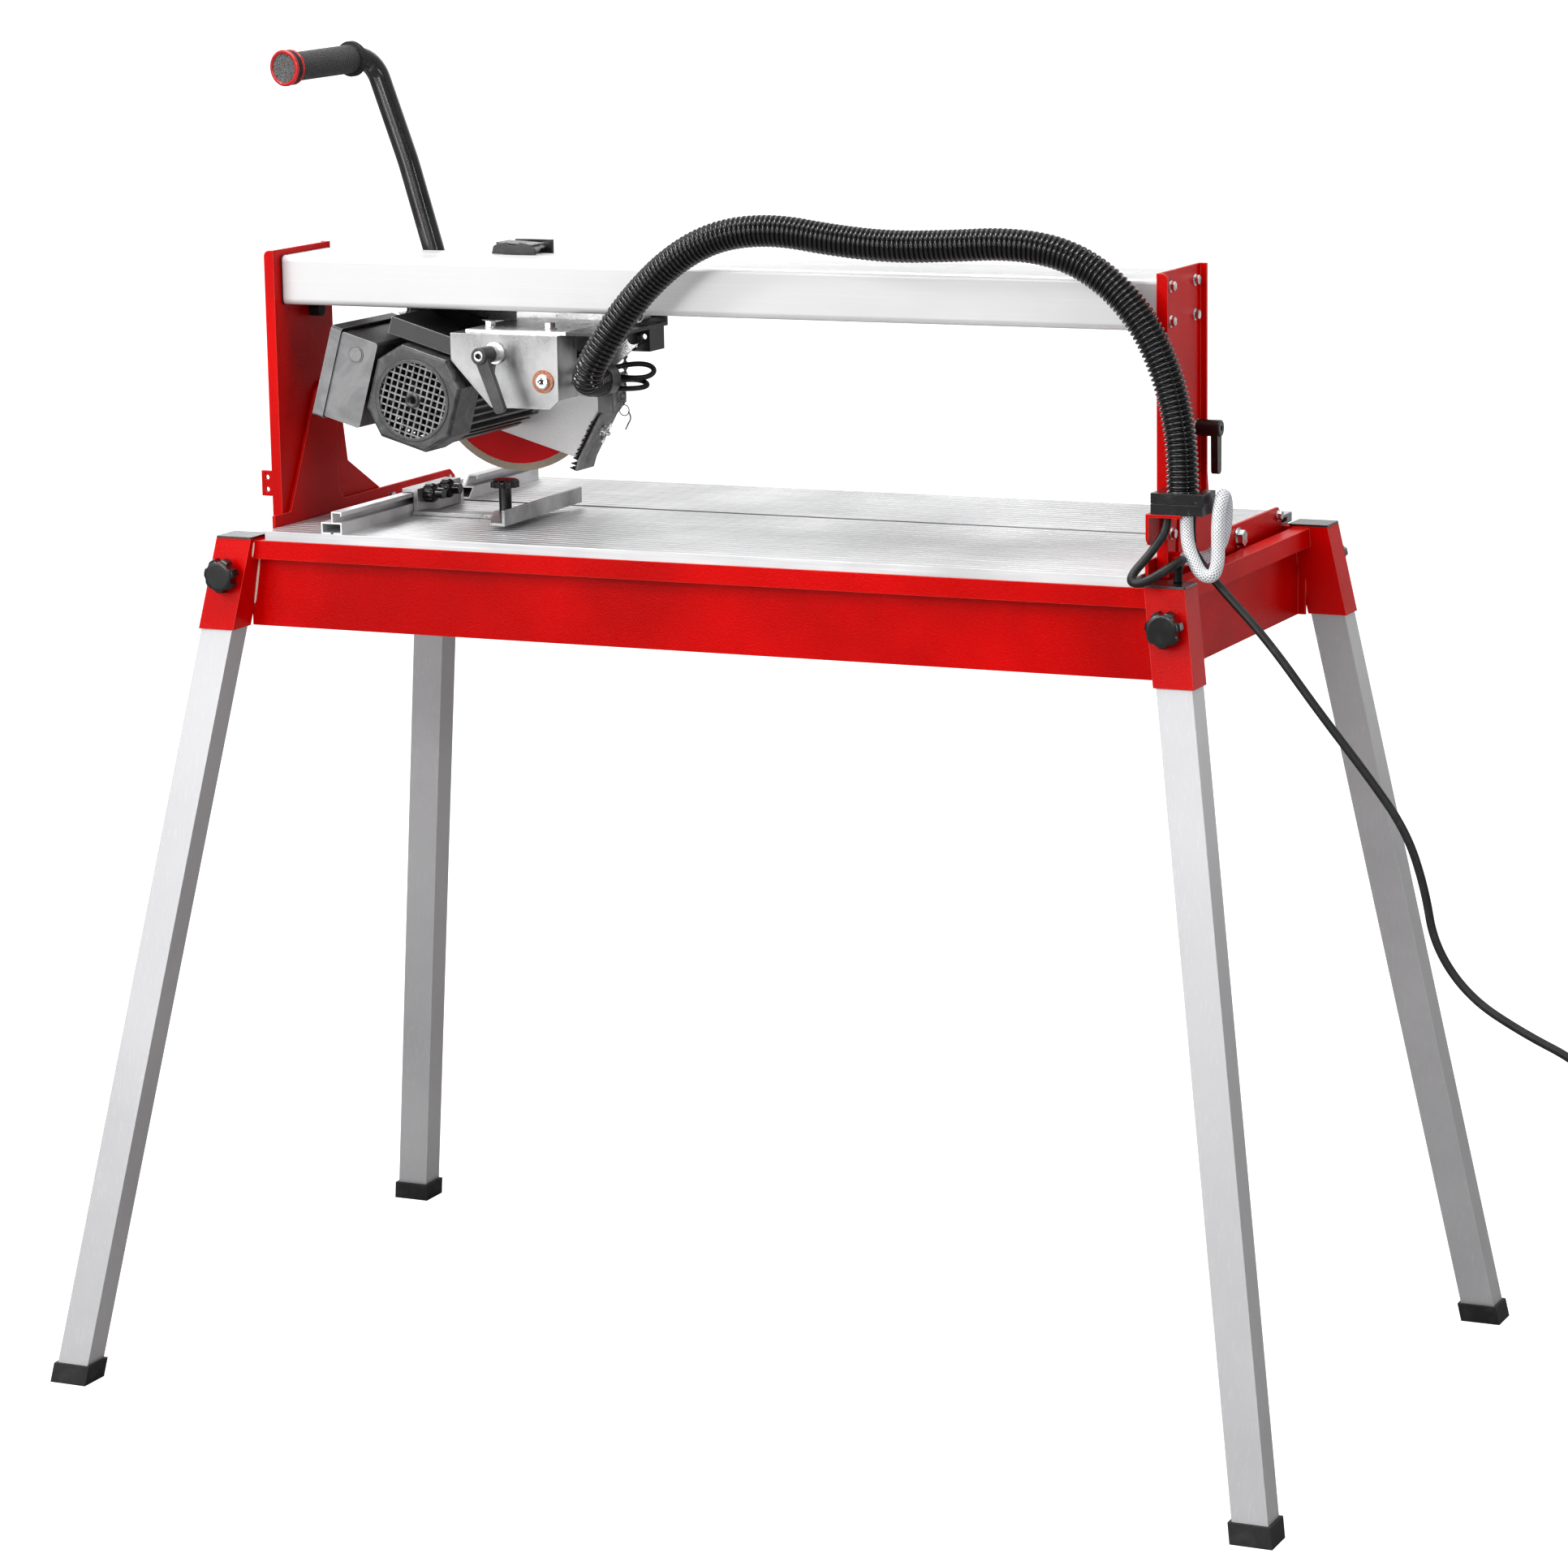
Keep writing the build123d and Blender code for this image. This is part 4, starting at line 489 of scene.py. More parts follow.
def fanCoverFinish():
    finish = newFinish("fanCoverPlastic")
    reach = finish.distance(bladeAxis)
    flow = finish.grain(30, 6, 0.65, twist=3.0)
    marks = finish.grain(120, 5, 0.7, (1, 1, 0.25), 1.5)
    colour = finish.blend(coverPlastic["deep"], coverPlastic["pale"], finish.fade(flow, 0.38, 0.7))
    colour = finish.blend(colour, fanFace["mark"], finish.fade(marks, 0.62, 0.76) * 0.5)
    face = finish.fade(finish.axis("y"), fanFace["front"] + 0.5 * mm, fanFace["front"])
    bars = finish.fade(reach, fanFace["inside"] + 0.5 * mm, fanFace["inside"]) * face
    worn = finish.fade(finish.grain(260, 3), 0.25, 0.6)
    colour = finish.blend(colour, fanFace["bar"], bars * worn * 0.9)
    # a near-black ring on the front face: painted shade in the groove round the grille
    groove = finish.fade(finish.maths("ABSOLUTE", reach - fanFace["ring"]), 0.9 * mm, 0.6 * mm) * face
    colour = finish.blend(colour, 0.004, groove)
    # paler edges: a painted highlight along edges
    colour = finish.blend(colour, fanFace["edge"], finish.edges(0.8 * mm) * 0.55)
    shine = 0.24 + 0.16 * flow
    normal = finish.bump(finish.grain(800, 2) + 0.5 * marks, 0.00014, finish.rounded(0.8 * mm))
    return finish.surface(colour, shine, normal, coat=0.4, coatShine=0.12)


gripSleeve = {
    "start": (-438.4, -60.0, 1343.2), "end": (-457.5, -170.3, 1339.2), "ribs": 64, "rings": 2.3 * mm,
    "ribbedFrom": 10 * mm, "ribbedTo": 100 * mm, "discFrom": 111.2 * mm,
    "deep": (0.022, 0.022, 0.023), "pale": (0.11, 0.11, 0.112), "disc": 0.19,
}


def gripFinish():
    # a knurled sleeve: ribs along it crossed by fine rings, with painted shade in the knurl's grooves and a
    # painted highlight on its crests, and a speckled end disc
    finish = newFinish("knurledGripRubber")
    start, end = metres(gripSleeve["start"], gripSleeve["end"])
    along = (end - start).normalized()
    side = along.orthogonal().normalized()
    other = along.cross(side)
    offset = finish.place() - finish.fixedVector(start)

    def measure(direction):
        return finish.add("VectorMath", {"operation": "DOT_PRODUCT"},
                          {0: offset, 1: finish.fixedVector(direction)}, output="Value")

    travel = measure(along)
    turn = finish.maths("ARCTAN2", measure(side), measure(other))
    rib = finish.maths("SINE", turn * gripSleeve["ribs"])
    ring = finish.maths("SINE", travel * (2 * math.pi / gripSleeve["rings"]))
    knurl = finish.maths("MAXIMUM", rib, ring)
    first, last, soft = gripSleeve["ribbedFrom"], gripSleeve["ribbedTo"], 0.5 * mm
    middle = finish.fade(travel, first - soft, first + soft)
    middle = middle * finish.fade(travel, last + soft, last - soft)
    specks = finish.grain(900, 3, 0.7)
    # knurl grooves darker, crests paler: painted shade and painted highlight
    colour = finish.blend(gripSleeve["deep"], gripSleeve["pale"], finish.fade(knurl, 0.2, 1.0) * middle)
    disc = finish.fade(travel, gripSleeve["discFrom"], gripSleeve["discFrom"] + 0.4 * mm)
    colour = finish.blend(colour, gripSleeve["disc"], disc * finish.fade(specks, 0.35, 0.65))
    normal = finish.bump(knurl * middle + 0.4 * specks, 0.0004, finish.rounded(0.8 * mm))
    return finish.surface(colour, 0.5 + 0.2 * specks, normal)


plugBody = {"pins": -8.6 * mm, "pinMetal": (0.78, 0.66, 0.42), "pinBright": (0.9, 0.85, 0.7)}


def plugFinish():
    finish = newFinish("plugRubberAndPins")
    clouds = finish.grain(70, 4)
    rubber = finish.blend(0.012, 0.03, clouds)
    metal = finish.fade(finish.axis("y"), plugBody["pins"], plugBody["pins"] + 0.3 * mm)
    worn = finish.fade(finish.grain(400, 3), 0.4, 0.6)
    pins = finish.blend(plugBody["pinMetal"], plugBody["pinBright"], worn)
    colour = finish.blend(rubber, pins, metal)
    shine = 0.42 - 0.2 * metal + 0.1 * clouds
    normal = finish.bump(finish.grain(1100, 2), 0.0001, finish.rounded(0.8 * mm))
    return finish.surface(colour, shine, normal, metallic=metal)


def conduitFinish():
    finish = newFinish("glossyConduitPlastic")
    clouds = finish.grain(90, 4, 0.6)
    colour = finish.blend((0.005, 0.005, 0.006), (0.014, 0.014, 0.015), clouds)
    dust = finish.fade(finish.grain(340, 5, 0.7), 0.66, 0.8)
    colour = finish.blend(colour, 0.10, dust * 0.25)
    shine = 0.07 + 0.1 * clouds
    normal = finish.bump(finish.grain(1200, 2), 0.00004)
    return finish.surface(colour, shine, normal, coat=0.4, coatShine=0.06)


hoseBraid = {
    "threads": 12, "spacing": 3.4 * mm, "thread": (0.84, 0.84, 0.86), "gap": (0.27, 0.28, 0.30),
    "tint": (0.42, 0.36, 0.56), "tintFrom": -200 * mm,
}


def hoseFinish():
    # two sets of threads cross round the hose under a clear skin
    finish = newFinish("braidedClearHose")
    lay = finish.add("UVMap", {"uv_map": "lay"})
    around = finish.axis("x", lay) * (hoseBraid["threads"] * math.pi)
    along = finish.axis("y", lay) * (math.pi / hoseBraid["spacing"])
    left = finish.maths("ABSOLUTE", finish.maths("SINE", around + along))
    right = finish.maths("ABSOLUTE", finish.maths("SINE", around - along))
    thread = finish.maths("MAXIMUM", finish.fade(left, 0.78, 0.92), finish.fade(right, 0.78, 0.92))
    behind = finish.fade(finish.axis("y"), hoseBraid["tintFrom"], hoseBraid["tintFrom"] + 8 * mm)
    gap = finish.blend(hoseBraid["gap"], hoseBraid["tint"], behind * 0.6)
    colour = finish.blend(gap, hoseBraid["thread"], thread)
    shine = 0.16 + 0.12 * finish.grain(200, 3)
    normal = finish.bump(thread, 0.00025)
    return finish.surface(colour, shine, normal, coat=0.3, coatShine=0.08)


finishes = {
    "red": paintedFinish("redPowderCoat", redPaint),
    "black": paintedFinish("glossBlackPaint", blackPaint),
    "motor": paintedFinish("motorGreyPaint", motorPaint),
    "guard": paintedFinish("guardSilverPaint", guardPaint),
    "leg": metalFinish("brushedLegTube", legTube),
    "rail": metalFinish("drawnRailAluminium", railSheet),
    "fence": metalFinish("fenceAluminium", fenceSheet),
    "zinc": metalFinish("brightZincPlate", zincPlate),
    "roller": metalFinish("groundRollerSteel", rollerSteel),
    "splash": metalFinish("splashPlateSteel", splashSteel),
    "chain": metalFinish("chainSteel", chainSteel),
    "nylon": mouldedFinish("blackNylon", blackNylon),
    "bracketPaint": partedFinish("bracketPaintAndLink", endBracketPaint),
    "lever": partedFinish("leverNylonAndBush", leverMoulding),
    "strip": partedFinish("greyHangerPaint", hangerStrip),
    "dark": paintedFinish("darkFanLacquer", darkFan),
    "arm": paintedFinish("armBlackPaint", armPaint),
    "weld": paintedFinish("weldPaintedHighlight", weldPaintedHighlight),
    "clamp": mouldedFinish("dustyClampNylon", clampNylon),
    "rubber": mouldedFinish("blackRubber", blackRubber),
    "cord": mouldedFinish("cordRubber", cordRubber),
    "box": mouldedFinish("switchBoxPlastic", switchMoulding),
    "start": mouldedFinish("startButtonGreen", startGreen),
    "stop": mouldedFinish("stopButtonRed", stopRed),
    "collar": mouldedFinish("collarRed", collarRed),
    "table": tableFinish(),
    "blade": bladeFinish(),
    "bolt": boltFinish(),
    "carriage": carriageFinish(),
    "fan": fanCoverFinish(),
    "fanRing": mouldedFinish("meshRingPlastic", dict(coverPlastic, pale=0.3, edge=0.7)),
    "grip": gripFinish(),
    "plug": plugFinish(),
    "conduit": conduitFinish(),
    "hose": hoseFinish(),
}
wearing = {
    "red": ["tub_frame", "end_plates", "post_left", "post_right"],
    "black": ["handle_tube"],
    "bracketPaint": ["end_bracket"],
    "strip": ["conduit_fitting"],
    "lever": ["plunge_lever"],
    "arm": ["motor_arm"],
    "dark": ["rotor", "motor_bearings"],
    "motor": ["motor_housing"],
    "guard": ["blade_guard"],
    "splash": ["splash_guard"],
    "leg": ["legs"],
    "rail": ["rail"],
    "fence": ["fence_front", "fence_rear"],
    "zinc": ["pivot_bracket", "guide_slider", "mitre_arm"],
    "roller": ["roller_upper_left", "roller_upper_right", "roller_lower_left", "roller_lower_right",
               "blade_clamp"],
    "nylon": ["socket_caps", "leg_knob_front_left", "leg_knob_front_right", "leg_knob_rear_left",
              "leg_knob_rear_right", "tilt_lever_left", "tilt_lever_right",
              "guide_knob_front", "guide_knob_rear", "thumb_screw", "drain_plug", "water_pump"],
    "clamp": ["conduit_clamp"],
    "rubber": ["leg_boots", "rail_rubbers"],
    "cord": ["mains_cord", "mains_cord_coil", "pump_cable"],
    "box": ["switch_box", "switch_lid"],
    "start": ["start_button"],
    "stop": ["stop_button"],
    "table": ["table_front", "table_rear"],
    "blade": ["blade"],
    "bolt": ["rail_bolts", "tilt_hardware", "carriage_fasteners"],
    "carriage": ["carriage"],
    "fan": ["fan_cover"],
    "grip": ["handle_grip"],
    "plug": ["mains_plug"],
    "conduit": ["conduit"],
    "hose": ["water_hose"],
}
for finishName, wearers in wearing.items():
    for nodeName in wearers:
        for materialSlot in nodes[nodeName].material_slots:
            materialSlot.material = finishes[finishName]
print("finishes on", sum(len(wearers) for wearers in wearing.values()), "of", len(nodes), "solids")


def newPiece(name, shape, finishName, slotName, body=None, smooth=True, mapped=False):
    # shape holds points and faces; a tube's also says how far round and along each point lies
    mesh = bpy.data.meshes.new(name)
    mesh.from_pydata([tuple(point) for point in shape[0]], [], shape[1])
    if mapped:
        layout, lay = shape[2], mesh.uv_layers.new(name="lay")
        for face in mesh.polygons:
            rounds = [layout[mesh.loops[corner].vertex_index][0] for corner in face.loop_indices]
            for corner, turn in zip(face.loop_indices, rounds):
                travel = layout[mesh.loops[corner].vertex_index][1]
                lay.data[corner].uv = (turn + 1 if max(rounds) - turn > 0.5 else turn, travel)
    skin = bmesh.new()
    skin.from_mesh(mesh)
    bmesh.ops.recalc_face_normals(skin, faces=skin.faces)
    skin.to_mesh(mesh)
    skin.free()
    mesh.materials.append(finishes[finishName])
    for face in mesh.polygons:
        face.use_smooth = smooth
    piece = bpy.data.objects.new(name, mesh)
    bpy.context.scene.collection.objects.link(piece)
    if body:
        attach(piece, body)
    return piece


def softenEdges(piece, width):
    bevel = piece.modifiers.new("softEdges", "BEVEL")
    bevel.width = width
    bevel.segments = 2
    bevel.limit_method = "ANGLE"
    bevel.angle_limit = math.radians(35)


def merged(*parts):
    points, faces = [], []
    for part in parts:
        start = len(points)
        points += part[0]
        faces += [tuple(corner + start for corner in face) for face in part[1]]
    return points, faces


def smoothRoute(name, route):
    # the smooth line through a route's points, as a list of places
    curve = bpy.data.curves.new(name, "CURVE")
    curve.dimensions = "3D"
    curve.resolution_u = 12
    line = curve.splines.new("NURBS")
    line.points.add(len(route) - 1)
    for point, place in zip(line.points, route):
        point.co = (*place, 1)
    line.order_u = 3
    line.use_endpoint_u = True
    holder = bpy.data.objects.new(name, curve)
    mesh = bpy.data.meshes.new_from_object(holder)
    places = [vertex.co.copy() for vertex in mesh.vertices]
    bpy.data.objects.remove(holder)
    bpy.data.meshes.remove(mesh)
    bpy.data.curves.remove(curve)
    return places


def evenly(places, step):
    # the same line with its points a fixed step apart
    lengths = [0.0]
    for here, after in zip(places, places[1:]):
        lengths.append(lengths[-1] + (after - here).length)
    count = max(2, round(lengths[-1] / step))
    result, leg = [], 0
    for number in range(count + 1):
        wanted = lengths[-1] * number / count
        while leg < len(lengths) - 2 and lengths[leg + 1] < wanted:
            leg += 1
        span = lengths[leg + 1] - lengths[leg]
        result.append(places[leg].lerp(places[leg + 1], (wanted - lengths[leg]) / span if span else 0))
    return result, lengths[-1]


def tube(path, radiusAt, sides):
    # rings square to the path, each turned from the last as little as possible
    points, faces, layout = [], [], []
    ways = [(path[min(i + 1, len(path) - 1)] - path[max(i - 1, 0)]).normalized() for i in range(len(path))]
    side = ways[0].orthogonal().normalized()
    travelled = 0.0
    for number, (here, way) in enumerate(zip(path, ways)):
        if number:
            travelled += (here - path[number - 1]).length
            side = ways[number - 1].rotation_difference(way) @ side
        side = (side - way * side.dot(way)).normalized()
        other = way.cross(side)
        radius = radiusAt(travelled)
        for corner in range(sides):
            angle = 2 * math.pi * corner / sides
            points.append(here + (side * math.cos(angle) + other * math.sin(angle)) * radius)
            layout.append((corner / sides, travelled))
    for ring in range(len(path) - 1):
        for corner in range(sides):
            first, second = ring * sides + corner, ring * sides + (corner + 1) % sides
            faces.append((first, second, second + sides, first + sides))
    faces.append(tuple(reversed(range(sides))))
    faces.append(tuple(range((len(path) - 1) * sides, len(path) * sides)))
    return points, faces, layout


def lathe(profile, origin, direction, steps, closed=False):
    # profile holds (distance along, radius) in millimetres; an open one gets flat ends
    axis = Vector(direction).normalized()
    side = axis.orthogonal().normalized()
    other = axis.cross(side)
    origin = Vector(origin)
    points, faces = [], []
    for step in range(steps):
        angle = 2 * math.pi * step / steps
        out = side * math.cos(angle) + other * math.sin(angle)
        points += [origin + axis * (along * mm) + out * (radius * mm) for along, radius in profile]
    count = len(profile)
    for step in range(steps):
        after = (step + 1) % steps
        for row in range(count if closed else count - 1):
            corners = ((step, row), (after, row), (after, (row + 1) % count), (step, (row + 1) % count))
            faces.append(tuple(ring * count + corner for ring, corner in corners))
    if not closed:
        faces.append(tuple(step * count for step in range(steps)))
        faces.append(tuple(step * count + count - 1 for step in reversed(range(steps))))
    return points, faces


def slab(corners, thickness):
    # a flat plate: its corners in order, thickened along its own normal
    corners = [Vector(corner) for corner in corners]
    normal = (corners[1] - corners[0]).cross(corners[2] - corners[1]).normalized() * thickness
    count = len(corners)
    faces = [tuple(reversed(range(count))), tuple(range(count, 2 * count))]
    faces += [(i, (i + 1) % count, (i + 1) % count + count, i + count) for i in range(count)]
    return corners + [corner + normal for corner in corners], faces


def ovalLink(middle, way, flat, long, wide, wire):
    # one chain link: a wire oval in the plane of way and flat
    way, flat = Vector(way).normalized(), Vector(flat).normalized()
    straight, steps, sides = (long - wide) / 2, 20, 8
    path = []
    for step in range(steps):
        angle = 2 * math.pi * step / steps
        lift = math.sin(angle) * wide / 2 + (straight if math.sin(angle) >= 0 else -straight)
        path.append(Vector(middle) + way * lift + flat * math.cos(angle) * wide / 2)
    points, faces = [], []
    normal = way.cross(flat)
    for step, here in enumerate(path):
        ahead = (path[(step + 1) % steps] - path[step - 1]).normalized()
        out = ahead.cross(normal)
        for corner in range(sides):
            angle = 2 * math.pi * corner / sides
            points.append(here + (out * math.cos(angle) + normal * math.sin(angle)) * wire / 2)
            after = (corner + 1) % sides
            first, second = step * sides, (step + 1) % steps * sides
            faces.append((first + corner, first + after, second + after, second + corner))
    return points, faces


def headPoint(along, across, up):
    # a place given in the leaning head's own axes, in millimetres from the blade's axis
    x = bladeAxis[0] + along * math.cos(headLean) + up * math.sin(headLean)
    z = bladeAxis[1] - along * math.sin(headLean) + up * math.cos(headLean)
    return Vector((x, across, z)) * mm


studioView = {"place": (2.0719, -4.4839, 1.5932), "turn": 24.756, "down": 11.2825, "roll": -0.9524,
              "lens": 112.60}


def aimCamera():
    turn, down, roll = (math.radians(studioView[key]) for key in ("turn", "down", "roll"))
    ahead = Vector((-math.sin(turn) * math.cos(down), math.cos(turn) * math.cos(down), -math.sin(down)))
    level = Vector((math.cos(turn), math.sin(turn), 0))
    up = level.cross(ahead)
    right = math.cos(roll) * level + math.sin(roll) * up
    top = math.cos(roll) * up - math.sin(roll) * level
    camera = bpy.data.objects.new("studioCamera", bpy.data.cameras.new("studioCamera"))
    bpy.context.scene.collection.objects.link(camera)
    columns = [list(column) + [0] for column in (right, top, -ahead)]
    columns.append([*studioView["place"], 1])
    camera.matrix_world = Matrix(columns).transposed()
    camera.data.sensor_width = 36
    camera.data.lens = studioView["lens"]
    camera.data.clip_end = 200
    bpy.context.scene.camera = camera


aimCamera()
print("camera placed")


def layCord(name, cord, finishName, slotName, body=None, radiusAt=None, mapped=False):
    # a round cord along its route; radiusAt gives the radius where it changes along the cord
    path, length = evenly(smoothRoute(name + "Line", cord["route"]), cord["step"])
    shape = tube(path, radiusAt or (lambda travelled: cord["radius"]), cord["sides"])
    piece = newPiece(name, shape, finishName, slotName, body, mapped=mapped)
    print(name, "length", round(length, 3))
    return piece, path


mainsCord = {
    "route": [
        (0.514, -0.190, 0.935), (0.514, -0.190, 0.915), (0.520, -0.192, 0.896), (0.545, -0.197, 0.869),
        (0.597, -0.207, 0.822), (0.650, -0.212, 0.757), (0.698, -0.211, 0.699), (0.734, -0.209, 0.650),
        (0.752, -0.208, 0.598), (0.762, -0.209, 0.543), (0.797, -0.211, 0.497), (0.850, -0.213, 0.468),
        (0.903, -0.214, 0.446), (0.948, -0.213, 0.405), (0.974, -0.210, 0.345), (0.984, -0.210, 0.275),
        (0.990, -0.212, 0.205), (0.996, -0.217, 0.145), (1.002, -0.225, 0.092), (1.012, -0.233, 0.050),
        (1.034, -0.237, 0.018), (1.066, -0.230, 0.0043), (1.092, -0.206, 0.0043), (1.092, -0.170, 0.0043),
        (1.071, -0.144, 0.0043)],
    "tail": [
        (1.062, -0.122, 0.0125), (1.062, -0.102, 0.0127), (1.062, -0.082, 0.016), (1.062, -0.066, 0.019),
        (1.062, -0.054, 0.019)],
    "coilMiddle": (1.010, -0.130), "inner": 0.0358, "outer": 0.0522, "turnsPerLayer": 3, "pointsPerTurn": 16,
    "lowLayer": 0.0043, "highLayer": 0.0125, "radius": 0.004, "step": 0.004, "sides": 14, "length": 2.95,
}


def coilPoints():
    # down-layer turns run inwards, up-layer turns run outwards again
    across, deep = mainsCord["coilMiddle"]
    perLayer = mainsCord["turnsPerLayer"] * mainsCord["pointsPerTurn"]
    places = []
    for step in range(1, 2 * perLayer):
        angle = 2 * math.pi * step / mainsCord["pointsPerTurn"]
        inwards = min(step, 2 * perLayer - step) / perLayer
        radius = mainsCord["outer"] + (mainsCord["inner"] - mainsCord["outer"]) * inwards
        rise = min(1, max(0, (step - perLayer + 3) / 6))
        height = mainsCord["lowLayer"] + (mainsCord["highLayer"] - mainsCord["lowLayer"]) * rise
        places.append((across + radius * math.cos(angle), deep + radius * math.sin(angle), height))
    return places


def makeStrainRelief(name, line, length, thick, thin, body):
    # a ribbed sleeve that thins out along the first stretch of a line
    step = 0.8 * mm
    line = evenly(line[:int(length / mainsCord["step"]) + 2], step)[0]
    line = [place for number, place in enumerate(line) if number * step <= length]

    def radius(travelled):
        share = travelled / length
        rib = 0.6 * mm * (0.5 + 0.5 * math.cos(2 * math.pi * travelled / (4.2 * mm))) * (1 - share)
        return thick + (thin - thick) * share + rib

    return newPiece(name, tube(line, radius, 24), "rubber", "black_rubber", body)


wholeRoute = mainsCord["route"] + coilPoints() + mainsCord["tail"]
mainsLead, mainsPath = layCord("mainsLead", dict(mainsCord, route=wholeRoute), "cord", "cord_rubber")
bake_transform(mainsLead)
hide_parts("mains_cord", "mains_cord_coil")
makeStrainRelief("leadBushing", mainsPath, 0.030, 0.0068, 0.0048, "bridge")
plugSleeve = makeStrainRelief("plugSleeve", mainsPath[::-1], 0.032, 0.0070, 0.0047, "base")

pumpCable = {
    "route": [
        (0.498, -0.206, 0.935), (0.498, -0.206, 0.921), (0.491, -0.217, 0.906), (0.484, -0.228, 0.894),
        (0.478, -0.239, 0.885), (0.477, -0.248, 0.878), (0.483, -0.254, 0.8755), (0.492, -0.254, 0.877),
        (0.501, -0.249, 0.8815), (0.510, -0.241, 0.888), (0.517, -0.232, 0.893), (0.519, -0.222, 0.895),
        (0.515, -0.211, 0.893), (0.509, -0.2035, 0.888), (0.507, -0.201, 0.879), (0.507, -0.201, 0.870)],
    "radius": 0.0042, "step": 0.0015, "sides": 20, "length": 0.178,
}
pumpLead, pumpPath = layCord("pumpLead", pumpCable, "cord", "cord_rubber")
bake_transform(pumpLead)
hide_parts("pump_cable")

waterHose = {
    "route": [
        (0.517, -0.205, 0.935), (0.517, -0.205, 0.921), (0.521, -0.211, 0.906), (0.528, -0.2155, 0.893),
        (0.5375, -0.219, 0.8805), (0.5485, -0.219, 0.880), (0.552, -0.216, 0.893), (0.551, -0.213, 0.907),
        (0.5495, -0.210, 0.925), (0.549, -0.204, 0.942), (0.5485, -0.196, 0.951), (0.5475, -0.187, 0.953),
        (0.547, -0.180, 0.946), (0.546, -0.176, 0.933), (0.543, -0.173, 0.915), (0.536, -0.168, 0.899),
        (0.523, -0.163, 0.889), (0.509, -0.160, 0.886), (0.496, -0.160, 0.886)],
    "radius": 0.0064, "step": 0.0015, "sides": 32, "length": 0.252,
}
hose, hosePath = layCord("braidedHose", waterHose, "hose", "hose_clear", "bridge", mapped=True)
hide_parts("water_hose")

cableConduit = {
    "route": [
        (0.510, -0.1955, 0.9454), (0.510, -0.1955, 0.985), (0.505, -0.1955, 1.025), (0.493, -0.1955, 1.070),
        (0.470, -0.1955, 1.115), (0.435, -0.1955, 1.152), (0.390, -0.1955, 1.176), (0.335, -0.1955, 1.183),
        (0.275, -0.1955, 1.179), (0.215, -0.1955, 1.177), (0.155, -0.1955, 1.182), (0.095, -0.1955, 1.191),
        (0.040, -0.1955, 1.186), (-0.004, -0.1955, 1.167), (-0.043, -0.1955, 1.136), (-0.075, -0.196, 1.100),
        (-0.098, -0.197, 1.066), (-0.113, -0.193, 1.0445), (-0.120, -0.176, 1.034), (-0.120, -0.155, 1.034)],
    "crest": 0.0155, "groove": 0.0030, "pitch": 0.0050, "step": 0.000625, "sides": 36, "length": 0.875,
}


def corrugated(travelled):
    wave = 0.5 + 0.5 * math.cos(2 * math.pi * travelled / cableConduit["pitch"])
    return cableConduit["crest"] - cableConduit["groove"] * (1 - wave) ** 2.2


conduit, conduitPath = layCord("corrugatedConduit", cableConduit, "conduit", "conduit_plastic",
                               radiusAt=corrugated)
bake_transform(conduit)
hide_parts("conduit")

motorLeads = {
    "upper": [
        (-0.122, -0.139, 1.041), (-0.121, -0.130, 1.042), (-0.115, -0.119, 1.044), (-0.104, -0.110, 1.046),
        (-0.092, -0.106, 1.046), (-0.082, -0.107, 1.043), (-0.079, -0.112, 1.038), (-0.085, -0.117, 1.034),
        (-0.098, -0.120, 1.033), (-0.115, -0.122, 1.034), (-0.133, -0.122, 1.037), (-0.150, -0.120, 1.041),
        (-0.166, -0.117, 1.046)],
    "lower": [
        (-0.118, -0.139, 1.031), (-0.117, -0.131, 1.031), (-0.111, -0.121, 1.031), (-0.100, -0.113, 1.031),
        (-0.090, -0.111, 1.029), (-0.084, -0.116, 1.026), (-0.088, -0.122, 1.024), (-0.100, -0.126, 1.023),
        (-0.116, -0.128, 1.023), (-0.133, -0.127, 1.025), (-0.150, -0.124, 1.028), (-0.165, -0.120, 1.032)],
    "radius": 0.0026, "step": 0.0015, "sides": 16, "lengths": {"upper": 0.156, "lower": 0.136},
}
for side, length in motorLeads["lengths"].items():
    cord = dict(motorLeads, route=motorLeads[side])
    lead, leadPath = layCord(side + "MotorLead", cord, "cord", "cord_rubber", "carriage")

handleCollars = {  # first and last distance along the grip, bore radius and outer radius
    "flange": (0.3, 3.6, 11.2, 16.6), "cap": (99.6, 102.4, 14.6, 17.8), "rim": (109.2, 112.8, 14.6, 18.2)}


def makeCollars():
    start, end = metres(gripSleeve["start"], gripSleeve["end"])
    for name, (first, last, inner, outer) in handleCollars.items():
        profile = [(first, inner), (first, outer - 0.8), (first + 0.8, outer), (last - 0.8, outer),
                   (last, outer - 0.8), (last, inner)]
        shape = lathe(profile, start, (end - start).normalized(), 56, closed=True)
        newPiece(name + "Collar", shape, "collar", "stop_red", "carriage")


makeCollars()

rollerGuard = {  # reaches along the rail, across it and up, in millimetres
    "left": -268, "right": -218, "front": -92, "back": -64, "low": 1150.6, "high": 1162.5, "sheet": 2.4,
    "lid": 1.8, "screw": [(0, 3.4), (1.6, 3.4), (2.2, 2.6), (2.3, 1.5), (1.4, 1.4), (1.3, 0.2)]}


